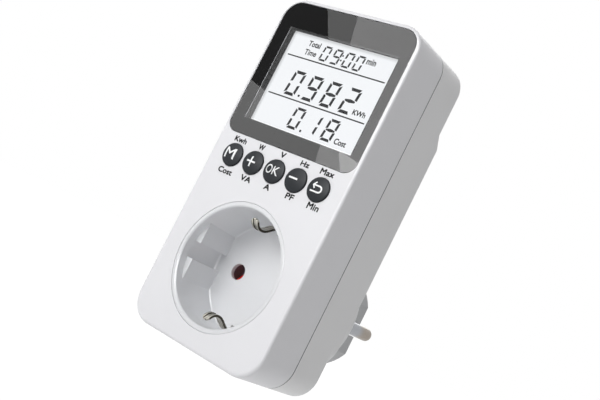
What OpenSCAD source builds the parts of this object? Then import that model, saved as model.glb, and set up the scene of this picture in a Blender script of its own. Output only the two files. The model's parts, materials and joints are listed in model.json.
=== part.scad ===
// Plug-in power meter with a display, five keys and an earthed round socket.
// +Z is up, the front looks along -Y, and the plug pins point along +Y.
// The origin is midway between the two plug pins, on the plug's contact face.

/* [Housing] */
// Width of the housing
body_w = 58; // [56:0.5:80]
// Height of the housing
body_h = 119.4; // [118:0.2:160]
// Depth of the housing, front face to lower back face
body_d = 35; // [34.5:0.5:45]
// Distance from the socket's axis down to the bottom of the housing
axis_to_bottom = 28.1; // [28:0.1:40]
// How much shallower the housing is behind the display
step_d = 2.8; // [1:0.1:4]
// Height of the top of the ramp in the back above the socket's axis
step_z = 71.6; // [60:0.2:78]
// Height of that ramp
step_ramp = 4.5; // [3:0.5:8]
// Radius of the raised back's lower corners
deep_low_r = 12; // [8:1:16]
// Depth of the front shell, front face to seam
front_d = 17.25; // [15:0.25:20]
// Wall thickness of both shells
wall = 2; // [1.6:0.1:2.4]
// Radius of the housing's bottom corners seen from the front
corner_r = 9; // [6:0.5:10]
// Radius of its top corners
top_corner_r = 8.5; // [6:0.5:10]
// Radius of the raised lower back's top corners
step_r = 3; // [2:0.5:6]
// Radius of the front edge
front_edge_r = 1.2; // [0.4:0.1:1.6]
// Radius of the back edge
back_edge_r = 1; // [0.6:0.1:2.4]
// Open seam between the shells
seam_gap = 0.3; // [0.1:0.05:0.5]
// Depth of the step in the rear shell's rim that takes the tongue
tongue_t = 1; // [0.8:0.1:1.2]
// Height of the tongue that closes the seam from inside
tongue_h = 1.8; // [1:0.1:2.5]

/* [Display] */
// Height of the lens's bottom edge above the socket's axis
lens_z = 40.8; // [40:0.2:50]
// Margin between the lens and the sides and top of the housing
lens_margin = 1.3; // [1:0.1:3]
// Thickness of the lens
lens_t = 1.5; // [1:0.1:1.5]
// Depth of the lens's surface below the front face
lens_inset = 0.15; // [0:0.05:0.3]
// Radius of the lens's top corners
lens_top_r = 6.3; // [3:0.1:8]
// Radius of the lens's bottom corners
lens_bottom_r = 4.3; // [2:0.1:6]
// Thickness of the black print layer behind the lens
mask_t = 0.1; // [0.05:0.05:0.2]
// Width of the clear window
window_w = 46.4; // [40:0.2:50]
// Height of the clear window
window_h = 34.2; // [28:0.2:36]
// Black border below the window
window_sill = 6; // [4:0.2:9]
// Width of the display's visible area
view_w = 44.6; // [38:0.2:46]
// Height of the display's visible area
view_h = 33.6; // [28:0.2:35]
// Border of the display glass beside its visible area
glass_border = 1.7; // [1.2:0.1:2]
// Contact ledge of the display glass below its visible area
glass_ledge = 3; // [2.6:0.1:3.4]
// Thickness of the display frame's bezel
bezel_t = 1.2; // [0.8:0.1:1.4]
// Thickness of the display glass
glass_t = 2.2; // [1.6:0.1:2.6]
// Thickness of the light guide
guide_t = 2.5; // [2:0.1:3]

/* [Keys] */
// Diameter of a key
key_d = 8; // [7:0.1:9]
// Space between neighbouring keys
key_gap = 1.5; // [1:0.05:1.5]
// Height of the keys' row above the socket's axis
key_z = 33.4; // [33:0.1:34]
// Height of a key's crown above the front face
key_rise = 1.5; // [0.8:0.1:2.5]
// Height of a key's straight side above the front face
key_side = 0.6; // [0.2:0.1:1]
// Travel of a key
key_travel = 0.5; // [0.3:0.1:1]
// Clearance between a key and its hole
key_clear = 0.15; // [0.1:0.05:0.3]

/* [Socket] */
// Radius of the recess at its rim
recess_r = 20; // [19.7:0.1:20.4]
// Depth of the recess
recess_d = 18; // [17.5:0.1:18.5]
// Draft of the recess wall, less radius at the floor
recess_draft = 0.3; // [0.1:0.1:0.4]
// Width of the cup's lip around the recess
lip_w = 1.6; // [1.4:0.1:2]
// Thickness of the cup's wall and floor
cup_t = 1.5; // [1.2:0.1:2]
// Distance of the guide ribs' flat face from the axis
rib_x = 17.1; // [16.8:0.1:17.5]
// Width of the groove between the guide ribs
rib_groove = 5.8; // [4:0.2:7]
// Depth of the guide ribs' front end below the rim
rib_start = 3.4; // [2:0.2:6]
// Radius of a pin hole
hole_r = 2.8; // [2.6:0.1:3]
// Distance between the pins, of the socket and of the plug
pin_pitch = 19; // [18.8:0.1:19.2]
// Radius between the recess floor and its wall
floor_fillet_r = 0.7; // [0.3:0.1:1.5]
// Width of the flange that holds the cup behind the front wall
cup_flange_w = 3; // [2.4:0.1:3.4]
// Width of an earth clip
clip_w = 2.8; // [2:0.2:4]
// Thickness of an earth clip
clip_t = 0.8; // [0.6:0.1:1]
// Width of the groove pressed along an earth clip
clip_groove_w = 1.2; // [0.8:0.1:1.4]
// Depth of the groove pressed along an earth clip
clip_groove_d = 0.25; // [0.1:0.05:0.3]
// Travel of the shutter
shutter_travel = 5.6; // [5.4:0.1:6]

/* [Plug] */
// Radius of a pin
pin_r = 2.4; // [2.3:0.05:2.45]
// Length of a pin beyond the contact face
pin_l = 19; // [18:0.5:19.5]
// Radius of the plug
plug_r = 18.5; // [18:0.1:18.6]
// Height of the plug above its collar
plug_h = 17.5; // [17:0.1:19]
// Distance of the plug's flat sides from the axis
plug_flat = 16.2; // [15.8:0.1:17]
// Width of the guide notch in each flat side
notch_w = 4.8; // [4:0.2:5.6]
// Depth of the guide notch
notch_d = 3.4; // [2:0.2:3.6]
// Radius of the collar around the plug
collar_r = 25.4; // [24.5:0.1:26]
// Height of the collar above the lower back face
collar_h = 7.5; // [6:0.5:9]
// Radius of the hole for a wall socket's earth pin
earth_hole_r = 2.5; // [2.45:0.05:2.6]
// Distance of that hole above the pins' axis
earth_hole_z = 10; // [9.5:0.1:10.5]

/* [Inside] */
// Thickness of the circuit boards
board_t = 1.6; // [1:0.1:1.6]
// Clearance between pieces that are assembled into each other
fit = 0.15; // [0.1:0.05:0.25]
// Radius of a housing screw's shank
screw_r = 1.4; // [1.2:0.1:1.6]
// Radius of a housing screw's head
screw_head_r = 2.6; // [2.2:0.1:2.8]
// Radius of a small board screw's shank
small_screw_r = 0.9; // [0.7:0.1:1]

/* [Hidden] */
$fn = 64;
eps = 0.01;
tiny = 0.05;

// Planes along Y, from the plug's contact face towards the front
collar_y = -plug_h;
back_y = collar_y - collar_h;
front_y = back_y - body_d;
upper_back_y = back_y - step_d;
seam_y = front_y + front_d;
front_in_y = front_y + wall;
lens_y = front_y + lens_inset;
mask_y = lens_y + lens_t;
ledge_y = mask_y + mask_t;
frame_y = ledge_y + 0.9;
glass_y = frame_y + bezel_t;
guide_y = glass_y + glass_t + tiny;
frame_back_y = guide_y + guide_t + tiny;
display_board_y = front_y + 11;
floor_y = front_y + recess_d;
carrier_y = floor_y + cup_t + tiny;
shutter_y = carrier_y + 0.2;
shutter_back_y = shutter_y + 5.4;
main_board_y = upper_back_y - wall - 6.2;
flange_y = collar_y - wall - tiny;
flange_t = 1.5;
flange_back_y = flange_y - flange_t;
lower_in_y = back_y - wall;
upper_in_y = upper_back_y - wall;

// Planes along Z and X
bottom_z = -axis_to_bottom;
top_z = bottom_z + body_h;
half_w = body_w / 2;
ramp_low_z = step_z - step_ramp;
deep_low_z = max(bottom_z + wall, -18.5);
lens_top_z = top_z - lens_margin;
window_z = lens_z + window_sill;
view_z = window_z + (window_h - view_h) / 2;
view_top_z = view_z + view_h;
glass_z = view_z - glass_ledge;
glass_top_z = view_top_z + 0.8;
glass_w = view_w + 2 * glass_border;
frame_rim = 1.2;
board_half_w = half_w - wall - 1.5;
board_top_z = glass_top_z + frame_rim;

// Keys
key_r = key_d / 2;
key_pitch = key_d + key_gap;
key_x = [for (i = [-2:2]) i * key_pitch];
key_hole_r = key_r + key_clear;
key_flange_r = key_r + 0.4;
key_flange_y = front_in_y + 0.2;
key_flange_t = 1;
switch_d = 3.4;
switch_w = 6.2;
plunger_r = 1.7;
stem_r = 1.8;
plunger_y = display_board_y - switch_d - key_travel - 0.2;
display_post_r = small_screw_r + 1;
low_screw_drop = max(key_flange_r + 0.55, switch_w / 2 + display_post_r + 0.1);
board_bottom_z = key_z - low_screw_drop - 1.3;

// Screws: a boss in the front shell and a post in the rear shell for each corner
boss_r = screw_r + 1.3;
post_r = screw_head_r + 1.3;
screw_x = half_w - wall - 4.6;
screw_low_z = bottom_z + wall + 5.2;
screw_top_z = max(top_z - wall - 3.6, board_top_z + boss_r + 0.3);
main_top_z = min(board_top_z, screw_top_z - post_r - 0.4);
screw_seat_y = seam_y + 6;
corner_screws = [[-screw_x, screw_low_z], [screw_x, screw_low_z],
                 [-screw_x, screw_top_z], [screw_x, screw_top_z]];
display_screws = [for (s = [-1, 1]) each [[s * (half_w - wall - 3.6), lens_z - 0.3],
                                          [s * key_pitch * 1.5, key_z - low_screw_drop]]];
main_screws = [for (s = [-1, 1]) each [[s * (board_half_w - 3.5), board_bottom_z + 4],
                                       [s * (board_half_w - 3.5), main_top_z - 4]]];
plug_screw_r = 20.3;
plug_screws_at = [for (a = [48, 132, 228, 312]) [plug_screw_r * cos(a), plug_screw_r * sin(a)]];

// Socket, contacts and earth
pin_x = pin_pitch / 2;
recess_floor_r = recess_r - recess_draft;
lip_r = recess_r + lip_w;
cup_r = recess_r + cup_t;
cup_flange_r = lip_r + cup_flange_w;
cup_flange_t = 1.4;
peg_r = 0.9;
peg_y = front_in_y + cup_flange_t + tiny;
pegs = [for (a = [45:90:315]) (lip_r + cup_flange_w / 2 + 0.1) * [cos(a), sin(a)]];
carrier_r = recess_floor_r - 2.1;
carrier_screws_at = [for (s = [-1, 1], z = [-9, 9]) [s * 13, z]];
shutter_high_z = 2.9;
shutter_low_z = -2.9;
shutter_foot_z = shutter_low_z - 1.3;
shutter_in_x = pin_x - 3.5;
shutter_out_x = pin_x + 0.7;
spring_low_z = shutter_foot_z - 2 * shutter_travel - 0.2;
spring_r = 1.6;
spring_wire_r = 0.25;
spring_turns = 6;
contact_y = shutter_back_y + 0.5;
strip_t = 0.6;
contact_back_y = floor_y + pin_l - 1;
carrier_back_y = contact_back_y - strip_t;
leaf_x = pin_r - 0.1;
leaf_half_h = 3.4;
tail_x = [3.2, 6.2];
tail_z = carrier_r + 0.6;
bar_w = 4.6;
bar_z = sqrt(pow(carrier_r, 2) - pow(pin_x - bar_w / 2, 2)) + 0.4;
bar_foot_z = board_bottom_z + 3;
bar_front_y = main_board_y + board_t + 1.6;
rivet_r = 1.1;
pin_base_r = pin_r + 0.25;
plug_strap_r = plug_r - 0.5;
earth_strap_y = contact_back_y + 0.35;
plug_strap_y = max(flange_back_y - 1.6, earth_strap_y + clip_t + 0.2);
pivot_y = floor_y + cup_t;
pivot_z = recess_floor_r - 1.5;
earth_hole_depth = 15;

// Helpers: solids placed by their low and high coordinates

module block(x, y, z) {
    translate([x[0], y[0], z[0]]) cube([x[1] - x[0], y[1] - y[0], z[1] - z[0]]);
}

module rod_y(r, y, x = 0, z = 0) {
    translate([x, y[1], z]) rotate([90, 0, 0]) cylinder(r = r, h = y[1] - y[0]);
}

// A shape drawn in X and Z, given a thickness from y[0] to y[1]
module slab_y(y) {
    translate([0, y[1], 0]) rotate([90, 0, 0]) linear_extrude(y[1] - y[0]) children();
}

// A shape drawn in Y and Z, given a width along X about x
module strip_x(w, x = 0) {
    translate([x - w / 2, 0, 0]) rotate([90, 0, 90]) linear_extrude(w) children();
}

// A shape turned about an axis along Y: its X is the radius, its Y the distance along Y
module turned_y(x = 0, z = 0, sides = $fn) {
    translate([x, 0, z]) rotate([-90, 0, 0]) rotate_extrude($fn = sides) children();
}

module round_rect(x, z, low_r, high_r) {
    difference() {
        translate([x[0], z[0]]) square([x[1] - x[0], z[1] - z[0]]);
        corner_bite(x[0], z[0], 1, 1, low_r);
        corner_bite(x[1], z[0], -1, 1, low_r);
        corner_bite(x[0], z[1], 1, -1, high_r);
        corner_bite(x[1], z[1], -1, -1, high_r);
    }
}

// What a round corner takes off a square one
module corner_bite(x, z, dx, dz, r) {
    translate([x, z]) difference() {
        translate([dx > 0 ? -1 : -r, dz > 0 ? -1 : -r]) square(r + 1);
        translate([dx * r, dz * r]) circle(r = r);
    }
}

// Half outline of a disc with a rounded front edge and a rounded back edge
function disc_profile(r, y, front_r, back_r, n = 6) = concat(
    [[0, y[0]]],
    [for (i = [0:n]) let (a = 90 * i / n)
        [r - front_r + front_r * sin(a), y[0] + front_r - front_r * cos(a)]],
    [for (i = [0:n]) let (a = 90 * i / n)
        [r - back_r + back_r * cos(a), y[1] - back_r + back_r * sin(a)]],
    [[0, y[1]]]);

// An upright disc with softened front and back edges, as the corner of a hull
module soft_corner(x, z, r, y, front_r, back_r) {
    turned_y(x, z, 40) polygon(disc_profile(r, y, front_r, back_r));
}

// A block with rounded corners and softened front and back edges
module soft_block(y, front_r, back_r) {
    hull() {
        for (s = [-1, 1]) {
            soft_corner(s * (half_w - corner_r), bottom_z + corner_r, corner_r, y, front_r, back_r);
            soft_corner(s * (half_w - top_corner_r), top_z - top_corner_r, top_corner_r, y, front_r, back_r);
        }
    }
}

// The deeper part of the housing, with the ramp at its top and round corners behind the plug
module lower_block() {
    y0 = seam_y + seam_gap / 2;
    hull() {
        for (s = [-1, 1]) {
            soft_corner(s * (half_w - deep_low_r), deep_low_z + deep_low_r, deep_low_r,
                        [y0, back_y], tiny, back_edge_r);
            soft_corner(s * (half_w - step_r), ramp_low_z - step_r, step_r,
                        [y0, back_y], tiny, back_edge_r);
            soft_corner(s * (half_w - step_r), step_z - step_r, step_r,
                        [y0, upper_back_y], tiny, back_edge_r);
        }
    }
}

module inner_outline(inset) {
    round_rect([-half_w + inset, half_w - inset], [bottom_z + inset, top_z - inset],
               corner_r - inset, top_corner_r - inset);
}

module at_each(points) {
    for (p = points) translate([p[0], 0, p[1]]) children();
}

// Points on a smooth curve through a list of points
function curve_point(a, b, c, d, t) =
    0.5 * ((2 * b) + (c - a) * t + (2 * a - 5 * b + 4 * c - d) * t * t
           + (3 * b - a - 3 * c + d) * t * t * t);
function curve(p, steps = 5) = concat(
    [for (i = [0:len(p) - 2], k = [0:steps - 1])
        curve_point(p[max(i - 1, 0)], p[i], p[i + 1], p[min(i + 2, len(p) - 1)], k / steps)],
    [p[len(p) - 1]]);

// Outline of a strip of thickness t that follows a line of points and ends round
function across(p, i) = let (d = p[min(i + 1, len(p) - 1)] - p[max(i - 1, 0)])
    [-d[1], d[0]] / norm(d);
function strip_outline(p, t) = let (last = len(p) - 1) concat(
    [for (i = [0:last]) p[i] + across(p, i) * t / 2],
    [for (a = [22.5:22.5:157.5]) let (side = across(p, last), ahead = [side[1], -side[0]])
        p[last] + (side * cos(a) + ahead * sin(a)) * t / 2],
    [for (i = [last:-1:0]) p[i] - across(p, i) * t / 2]);

// A round wire wound about Z from z[0] to z[1]
module coil(r, wire_r, z, turns, sides = 6, steps = 14) {
    rings = turns * steps;
    points = [for (i = [0:rings], k = [0:sides - 1])
        let (turn = 360 * i / steps, a = 360 * k / sides, reach = r + wire_r * cos(a))
        [reach * cos(turn), reach * sin(turn), z[0] + wire_r + (z[1] - z[0] - 2 * wire_r) * i / rings
         + wire_r * sin(a)]];
    sides_of = [for (i = [0:rings - 1], k = [0:sides - 1])
        let (a = i * sides + k, b = i * sides + (k + 1) % sides)
        [a, b, b + sides, a + sides]];
    polyhedron(points, concat([[for (k = [sides - 1:-1:0]) k]], sides_of,
                              [[for (k = [0:sides - 1]) rings * sides + k]]));
}

// Housing

module front_shell() {
    color("gainsboro") difference() {
        union() {
            difference() {
                soft_block([front_y, seam_y - seam_gap / 2], front_edge_r, tiny);
                slab_y([front_in_y, seam_y + 1]) inner_outline(wall);
            }
            slab_y([seam_y - 3, seam_y + tongue_h]) difference() {
                inner_outline(wall - tongue_t + fit);
                inner_outline(wall + tiny);
            }
            slab_y([front_in_y - eps, frame_y])
                round_rect([-half_w + wall - eps, half_w - wall + eps], [lens_z - 1.6, top_z - wall + eps],
                           lens_bottom_r, top_corner_r - wall);
            at_each(corner_screws) rod_y(boss_r, [front_in_y - eps, seam_y - fit]);
            at_each(display_screws) rod_y(display_post_r, [front_in_y - eps, display_board_y]);
            at_each(pegs) {
                rod_y(peg_r, [front_in_y - eps, peg_y + 0.5]);
                rod_y(peg_r + 0.5, [peg_y, peg_y + 0.5]);
            }
        }
        slab_y([front_y - 1, ledge_y])
            round_rect([-half_w + lens_margin, half_w - lens_margin], [lens_z, lens_top_z],
                       lens_bottom_r, lens_top_r);
        slab_y([front_y, frame_y + 1])
            round_rect([-window_w / 2 - 0.5, window_w / 2 + 0.5],
                       [window_z - 0.5, window_z + window_h + 0.5], 1, 1);
        rod_y(lip_r + tiny, [front_y - 1, front_in_y + 1]);
        for (x = key_x) rod_y(key_hole_r, [front_y - 1, front_in_y + 1], x, key_z);
        at_each(corner_screws) rod_y(screw_r + tiny, [front_in_y + 2, seam_y + 1]);
        at_each(display_screws) rod_y(small_screw_r + tiny, [front_in_y + 1, display_board_y + 1]);
    }
}

module rear_shell() {
    color("gainsboro") difference() {
        union() {
            difference() {
                union() {
                    soft_block([seam_y + seam_gap / 2, upper_back_y], tiny, back_edge_r);
                    lower_block();
                    turned_y() polygon(disc_profile(collar_r, [upper_in_y, collar_y], tiny, 1));
                }
                slab_y([seam_y - 1, upper_in_y]) inner_outline(wall);
                slab_y([seam_y, lower_in_y])
                    round_rect([-half_w + wall, half_w - wall], [deep_low_z + wall, ramp_low_z - 1],
                               deep_low_r - wall, step_r);
                rod_y(collar_r - wall - 0.5, [upper_in_y - 1, collar_y - wall]);
                slab_y([seam_y, seam_y + tongue_h + fit]) inner_outline(wall - tongue_t);
                slab_y([collar_y - wall - 1, collar_y + 1]) plug_outline(fit);
            }
            for (p = corner_screws) {
                rod_y(boss_r, [seam_y + fit, screw_seat_y], p[0], p[1]);
                rod_y(post_r, [seam_y + tongue_h + 0.5, back_wall_y(p[1]) + eps], p[0], p[1]);
            }
            for (p = main_screws)
                rod_y(small_screw_r + 1.2, [main_board_y + board_t, back_wall_y(p[1]) + eps], p[0], p[1]);
        }
        at_each(corner_screws) {
            rod_y(screw_r + fit, [seam_y - 1, back_y + 1]);
            rod_y(screw_head_r + fit, [screw_seat_y, back_y + 1]);
        }
        at_each(main_screws) rod_y(small_screw_r + tiny, [main_board_y, upper_in_y - 0.8]);
        at_each(plug_screws_at) rod_y(small_screw_r + tiny, [collar_y - wall - 1, collar_y - 0.5]);
    }
}

// Inner face of the back wall at height z
function back_wall_y(z) = z > deep_low_z + wall && z < ramp_low_z - 1 ? lower_in_y : upper_in_y;

module screw(r, head_r, seat_y, length, head_t) {
    rod_y(r, [seat_y - length, seat_y + eps]);
    difference() {
        turned_y() polygon(disc_profile(head_r, [seat_y, seat_y + head_t], tiny, head_t * 0.6));
        for (turn = [0, 90]) translate([0, seat_y + head_t, 0]) rotate([0, turn, 0])
            cube([head_r * 1.2, head_t, r * 0.4], center = true);
    }
}

// Turns a screw round, so that its head is on the front side of y
module facing_front(y) {
    translate([0, 2 * y, 0]) mirror([0, 1, 0]) children();
}

module housing_screws() {
    color("silver") at_each(corner_screws)
        screw(screw_r, screw_head_r, screw_seat_y, screw_seat_y - front_in_y - 2.6, 1.8);
}

// Display

module display_lens() {
    color([0.15, 0.15, 0.16, 0.6]) slab_y([lens_y, mask_y])
        round_rect([-half_w + lens_margin + fit, half_w - lens_margin - fit],
                   [lens_z + fit, lens_top_z - fit], lens_bottom_r - fit, lens_top_r - fit);
}

module lens_mask() {
    color("black") slab_y([mask_y, ledge_y]) difference() {
        round_rect([-half_w + lens_margin + fit, half_w - lens_margin - fit],
                   [lens_z + fit, lens_top_z - fit], lens_bottom_r - fit, lens_top_r - fit);
        translate([-window_w / 2, window_z]) square([window_w, window_h]);
    }
}

module lcd_frame() {
    x = glass_w / 2 + frame_rim;
    color("dimgray") difference() {
        union() {
            block([-x, x], [frame_y, frame_back_y], [glass_z - frame_rim, glass_top_z + frame_rim]);
            for (s = [-1, 1], z = [glass_z - 0.2, glass_top_z - 0.8])
                block([s * x - 0.8, s * x + 0.8] - [s * 0.8, s * 0.8], [frame_back_y - 1, display_board_y],
                      [z - 1, z + 2]);
        }
        block([-view_w / 2, view_w / 2], [frame_y - 1, frame_back_y + 1], [view_z, view_top_z]);
        block([-glass_w / 2 - tiny, glass_w / 2 + tiny], [glass_y, frame_back_y + 1],
              [glass_z - tiny, glass_top_z + tiny]);
    }
}

module lcd_glass() {
    color("whitesmoke")
        block([-glass_w / 2, glass_w / 2], [glass_y + eps, glass_y + glass_t], [glass_z, glass_top_z]);
}

module light_guide() {
    color("white") difference() {
        block([-view_w / 2 - 1, view_w / 2 + 1], [guide_y, guide_y + guide_t],
              [view_z - 0.5, glass_top_z - 0.2]);
        for (s = [-1, 1]) block([s * (view_w / 2 + 0.4) - 0.8, s * (view_w / 2 + 0.4) + 0.8],
                                [guide_y - 1, guide_y + guide_t + 1],
                                [view_z + view_h / 2 - 2.6, view_z + view_h / 2 + 2.6]);
    }
}

// Two lamps beside the light guide, on legs that reach the display board
module backlight_leds() {
    mid_z = view_z + view_h / 2;
    color("ivory") for (s = [-1, 1]) {
        x = s * (view_w / 2 + 0.5);
        block([x - 0.6, x + 0.6], [guide_y + 0.2, guide_y + 2.2], [mid_z - 2.2, mid_z + 2.2]);
        for (z = [mid_z - 1.4, mid_z + 1.4])
            block([x - 0.2, x + 0.2], [guide_y + 2.2 - eps, display_board_y], [z - 0.2, z + 0.2]);
    }
}

module elastomer_connector() {
    color("pink") block([-view_w / 2, view_w / 2], [guide_y, display_board_y - tiny],
                        [glass_z + 0.2, view_z - 0.8]);
}

module display_board() {
    color("darkgreen") difference() {
        block([-board_half_w, board_half_w], [display_board_y, display_board_y + board_t],
              [board_bottom_z, board_top_z]);
        at_each(display_screws)
            rod_y(small_screw_r + fit, [display_board_y - 1, display_board_y + board_t + 1]);
    }
}

module display_board_screws() {
    color("silver") at_each(display_screws)
        screw(small_screw_r, small_screw_r * 1.9, display_board_y + board_t, 6, 1);
}

module controller_chip() {
    back = display_board_y + board_t;
    color("black") turned_y(0, view_z + view_h / 2)
        polygon(disc_profile(7, [back, back + 1.4], tiny, 1.1));
}

module quartz_crystal() {
    back = display_board_y + board_t;
    color("silver") translate([12, back + 1.1, view_z + view_h / 2 - 3]) cylinder(r = 1.1, h = 6);
}

module tact_switches() {
    y = [display_board_y - switch_d, display_board_y];
    color("dimgray") for (x = key_x) difference() {
        block([x - switch_w / 2, x + switch_w / 2], y, [key_z - switch_w / 2, key_z + switch_w / 2]);
        rod_y(plunger_r + tiny, [y[0] - 1, y[1] - 0.5], x, key_z);
    }
}

// Keys: a domed cap with a flange that keeps it in, and a stem that meets the switch's plunger

module key(i) {
    rise_y = front_y - key_rise;
    dome_h = key_rise - key_side;
    dome_r = (key_r * key_r + dome_h * dome_h) / (2 * dome_h);
    half_angle = asin(key_r / dome_r);
    crown = [for (k = [0:8]) let (a = half_angle * k / 8)
        [dome_r * sin(a), rise_y + dome_r - dome_r * cos(a)]];
    flange_back = key_flange_y + key_flange_t;
    color([0.22, 0.23, 0.25]) turned_y(key_x[i], key_z) polygon(concat(crown, [
        [key_r, key_flange_y], [key_flange_r, key_flange_y], [key_flange_r, flange_back],
        [stem_r, flange_back], [stem_r, plunger_y], [0, plunger_y]]));
}

module plunger(i) {
    color("black") rod_y(plunger_r, [plunger_y, display_board_y - 0.7 - key_travel], key_x[i], key_z);
}

module key_mode() { key(0); }
module key_plus() { key(1); }
module key_ok() { key(2); }
module key_minus() { key(3); }
module key_back() { key(4); }
module plunger_mode() { plunger(0); }
module plunger_plus() { plunger(1); }
module plunger_ok() { plunger(2); }
module plunger_minus() { plunger(3); }
module plunger_back() { plunger(4); }

// Mains board and what stands on it

module main_board() {
    color("darkgreen") difference() {
        block([-board_half_w, board_half_w], [main_board_y, main_board_y + board_t],
              [board_bottom_z, main_top_z]);
        at_each(main_screws)
            rod_y(small_screw_r + fit, [main_board_y - 1, main_board_y + board_t + 1]);
    }
}

module main_board_screws() {
    color("silver") at_each(main_screws) facing_front(main_board_y)
        screw(small_screw_r, small_screw_r * 1.9, main_board_y, board_t + 3, 1);
}

module board_header() {
    y = [display_board_y + board_t, main_board_y];
    color("black") block([-8, 8], y, [board_bottom_z + 2, board_bottom_z + 4.5]);
}

module mains_capacitor() {
    color("gold") block([-23, -10], [main_board_y - 8.5, main_board_y], [main_top_z - 24, main_top_z - 8]);
}

module filter_capacitor() {
    r = 4;
    h = 12;
    color("navy") translate([5, main_board_y - r, main_top_z - 22]) difference() {
        cylinder(r = r, h = h);
        translate([0, 0, h - 2]) difference() {
            cylinder(r = r + 1, h = 0.7);
            cylinder(r = r - 0.35, h = 0.7);
        }
    }
}

module varistor() {
    r = 4.8;
    y = main_board_y - r - 0.4;
    z = main_top_z - 14;
    color("royalblue") union() {
        translate([15, y, z]) cylinder(r = r, h = 4);
        for (x = [12.5, 17.5]) block([x - 0.3, x + 0.3], [y, main_board_y], [z + 1.7, z + 2.3]);
    }
}

module fuse() {
    r = 2.6;
    cap = 5;
    glass = 10;
    color("lightgray") translate([-22, main_board_y - r, main_top_z - 30]) rotate([0, 90, 0]) {
        cylinder(r = r, h = cap);
        translate([0, 0, cap - eps]) cylinder(r = r - 0.3, h = glass + 2 * eps);
        translate([0, 0, cap + glass]) cylinder(r = r, h = cap);
    }
}

// A staple of resistance wire, flat on its two legs
module current_shunt() {
    x = -20;
    z = board_bottom_z + 12;
    leg = 1.6;
    span = 12;
    rise = 4;
    color("peru") difference() {
        block([x, x + span], [main_board_y - rise, main_board_y], [z, z + 2.4]);
        block([x + leg, x + span - leg], [main_board_y - rise + leg, main_board_y + 1], [z - 1, z + 4]);
    }
}

module bridge_rectifier() {
    z = board_bottom_z + 22.6;
    color("black") block([2, 8], [main_board_y - 2.6, main_board_y], [z, z + 6]);
}

module metering_chip() {
    z = board_bottom_z + 16;
    legs = 8;
    color("black") {
        block([2, 12], [main_board_y - 1.7, main_board_y - 0.1], [z, z + 4]);
        for (k = [0:legs - 1], s = [-1, 1])
            block([2.6 + k * 1.2, 3 + k * 1.2], [main_board_y - 0.6, main_board_y],
                  [z + 2 + s * 2.6 - 0.7, z + 2 + s * 2.6 + 0.7]);
    }
}

module backup_battery() {
    r = 4.9;
    h = 13;
    color("limegreen") translate([10, main_board_y - r, board_bottom_z + 27]) rotate([0, 90, 0]) {
        cylinder(r = r, h = h);
        translate([0, 0, h - eps]) cylinder(r = 1.8, h = 0.8);
    }
}

// Socket

module socket_cup() {
    back_y1 = front_in_y + cup_flange_t;
    fillet = [for (k = [0:4]) let (a = 90 * k / 4) [
        recess_floor_r - floor_fillet_r + floor_fillet_r * sin(a),
        floor_y - floor_fillet_r + floor_fillet_r * cos(a)]];
    color("gainsboro") difference() {
        union() {
            turned_y() polygon(concat([[0, floor_y]], fillet, [
                [recess_r - 0.05, front_y + 0.4], [recess_r + 0.35, front_y],
                [lip_r - 0.25, front_y], [lip_r, front_y + 0.25], [lip_r, front_in_y],
                [cup_flange_r, front_in_y], [cup_flange_r, back_y1], [cup_r, back_y1],
                [cup_r, floor_y + cup_t], [0, floor_y + cup_t]]));
            for (s = [-1, 1]) slab_y([front_y + rib_start, floor_y + eps]) guide_ribs(s);
        }
        for (s = [-1, 1]) {
            rod_y(hole_r, [floor_y - 1, floor_y + cup_t + 1], s * pin_x);
            clip_slot(s, [floor_y - 1, floor_y + cup_t + 1]);
        }
        at_each(carrier_screws_at) rod_y(small_screw_r + tiny, [floor_y + 0.6, floor_y + cup_t + 1]);
        at_each(pegs) rod_y(peg_r + tiny, [front_in_y - 1, back_y1 + 1]);
    }
}

// Two guide ribs on one side of the recess, with their groove
module guide_ribs(side) {
    difference() {
        intersection() {
            circle(r = recess_floor_r + 0.6);
            translate([side > 0 ? rib_x : -rib_x - 5, -15]) square([5, 30]);
        }
        translate([side > 0 ? 0 : -30, -rib_groove / 2]) square([30, rib_groove]);
    }
}

// Room for an earth clip, in the cup's floor and in the carrier behind it
module clip_slot(side, y) {
    half_x = clip_w / 2 + 0.4;
    low = pivot_z - 1.9;
    high = recess_floor_r - 0.1;
    block([-half_x, half_x], y, side > 0 ? [low, high] : [-high, -low]);
}

module contact_carrier() {
    y = [carrier_y, carrier_back_y];
    shutter_room = [y[0] - 1, shutter_back_y + 0.2];
    color([0.2, 0.2, 0.2]) difference() {
        rod_y(carrier_r, y);
        block([-pin_x - 3.8, pin_x + 3.8], shutter_room, [shutter_low_z - 0.5, shutter_high_z + 0.5]);
        block([-shutter_out_x - 0.3, shutter_out_x + 0.3], shutter_room,
              [shutter_foot_z - shutter_travel - 0.4, 0]);
        block([-spring_r - 0.7, spring_r + 0.7], shutter_room, [spring_low_z, 0]);
        for (s = [-1, 1]) {
            block([s * pin_x - leaf_x - strip_t - 0.1, s * pin_x + leaf_x + strip_t + 0.1],
                  [shutter_back_y, y[1] + 1], [-leaf_half_h - 0.1, leaf_half_h + 0.1]);
            clip_slot(s, [y[0] - 1, y[1] + 1]);
        }
        at_each(carrier_screws_at) rod_y(small_screw_r + fit, [y[0] - 1, y[1] + 1]);
    }
}

module carrier_screws() {
    color("silver") at_each(carrier_screws_at)
        screw(small_screw_r, small_screw_r * 1.9, carrier_back_y, carrier_back_y - floor_y - 0.9, 1);
}

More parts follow.
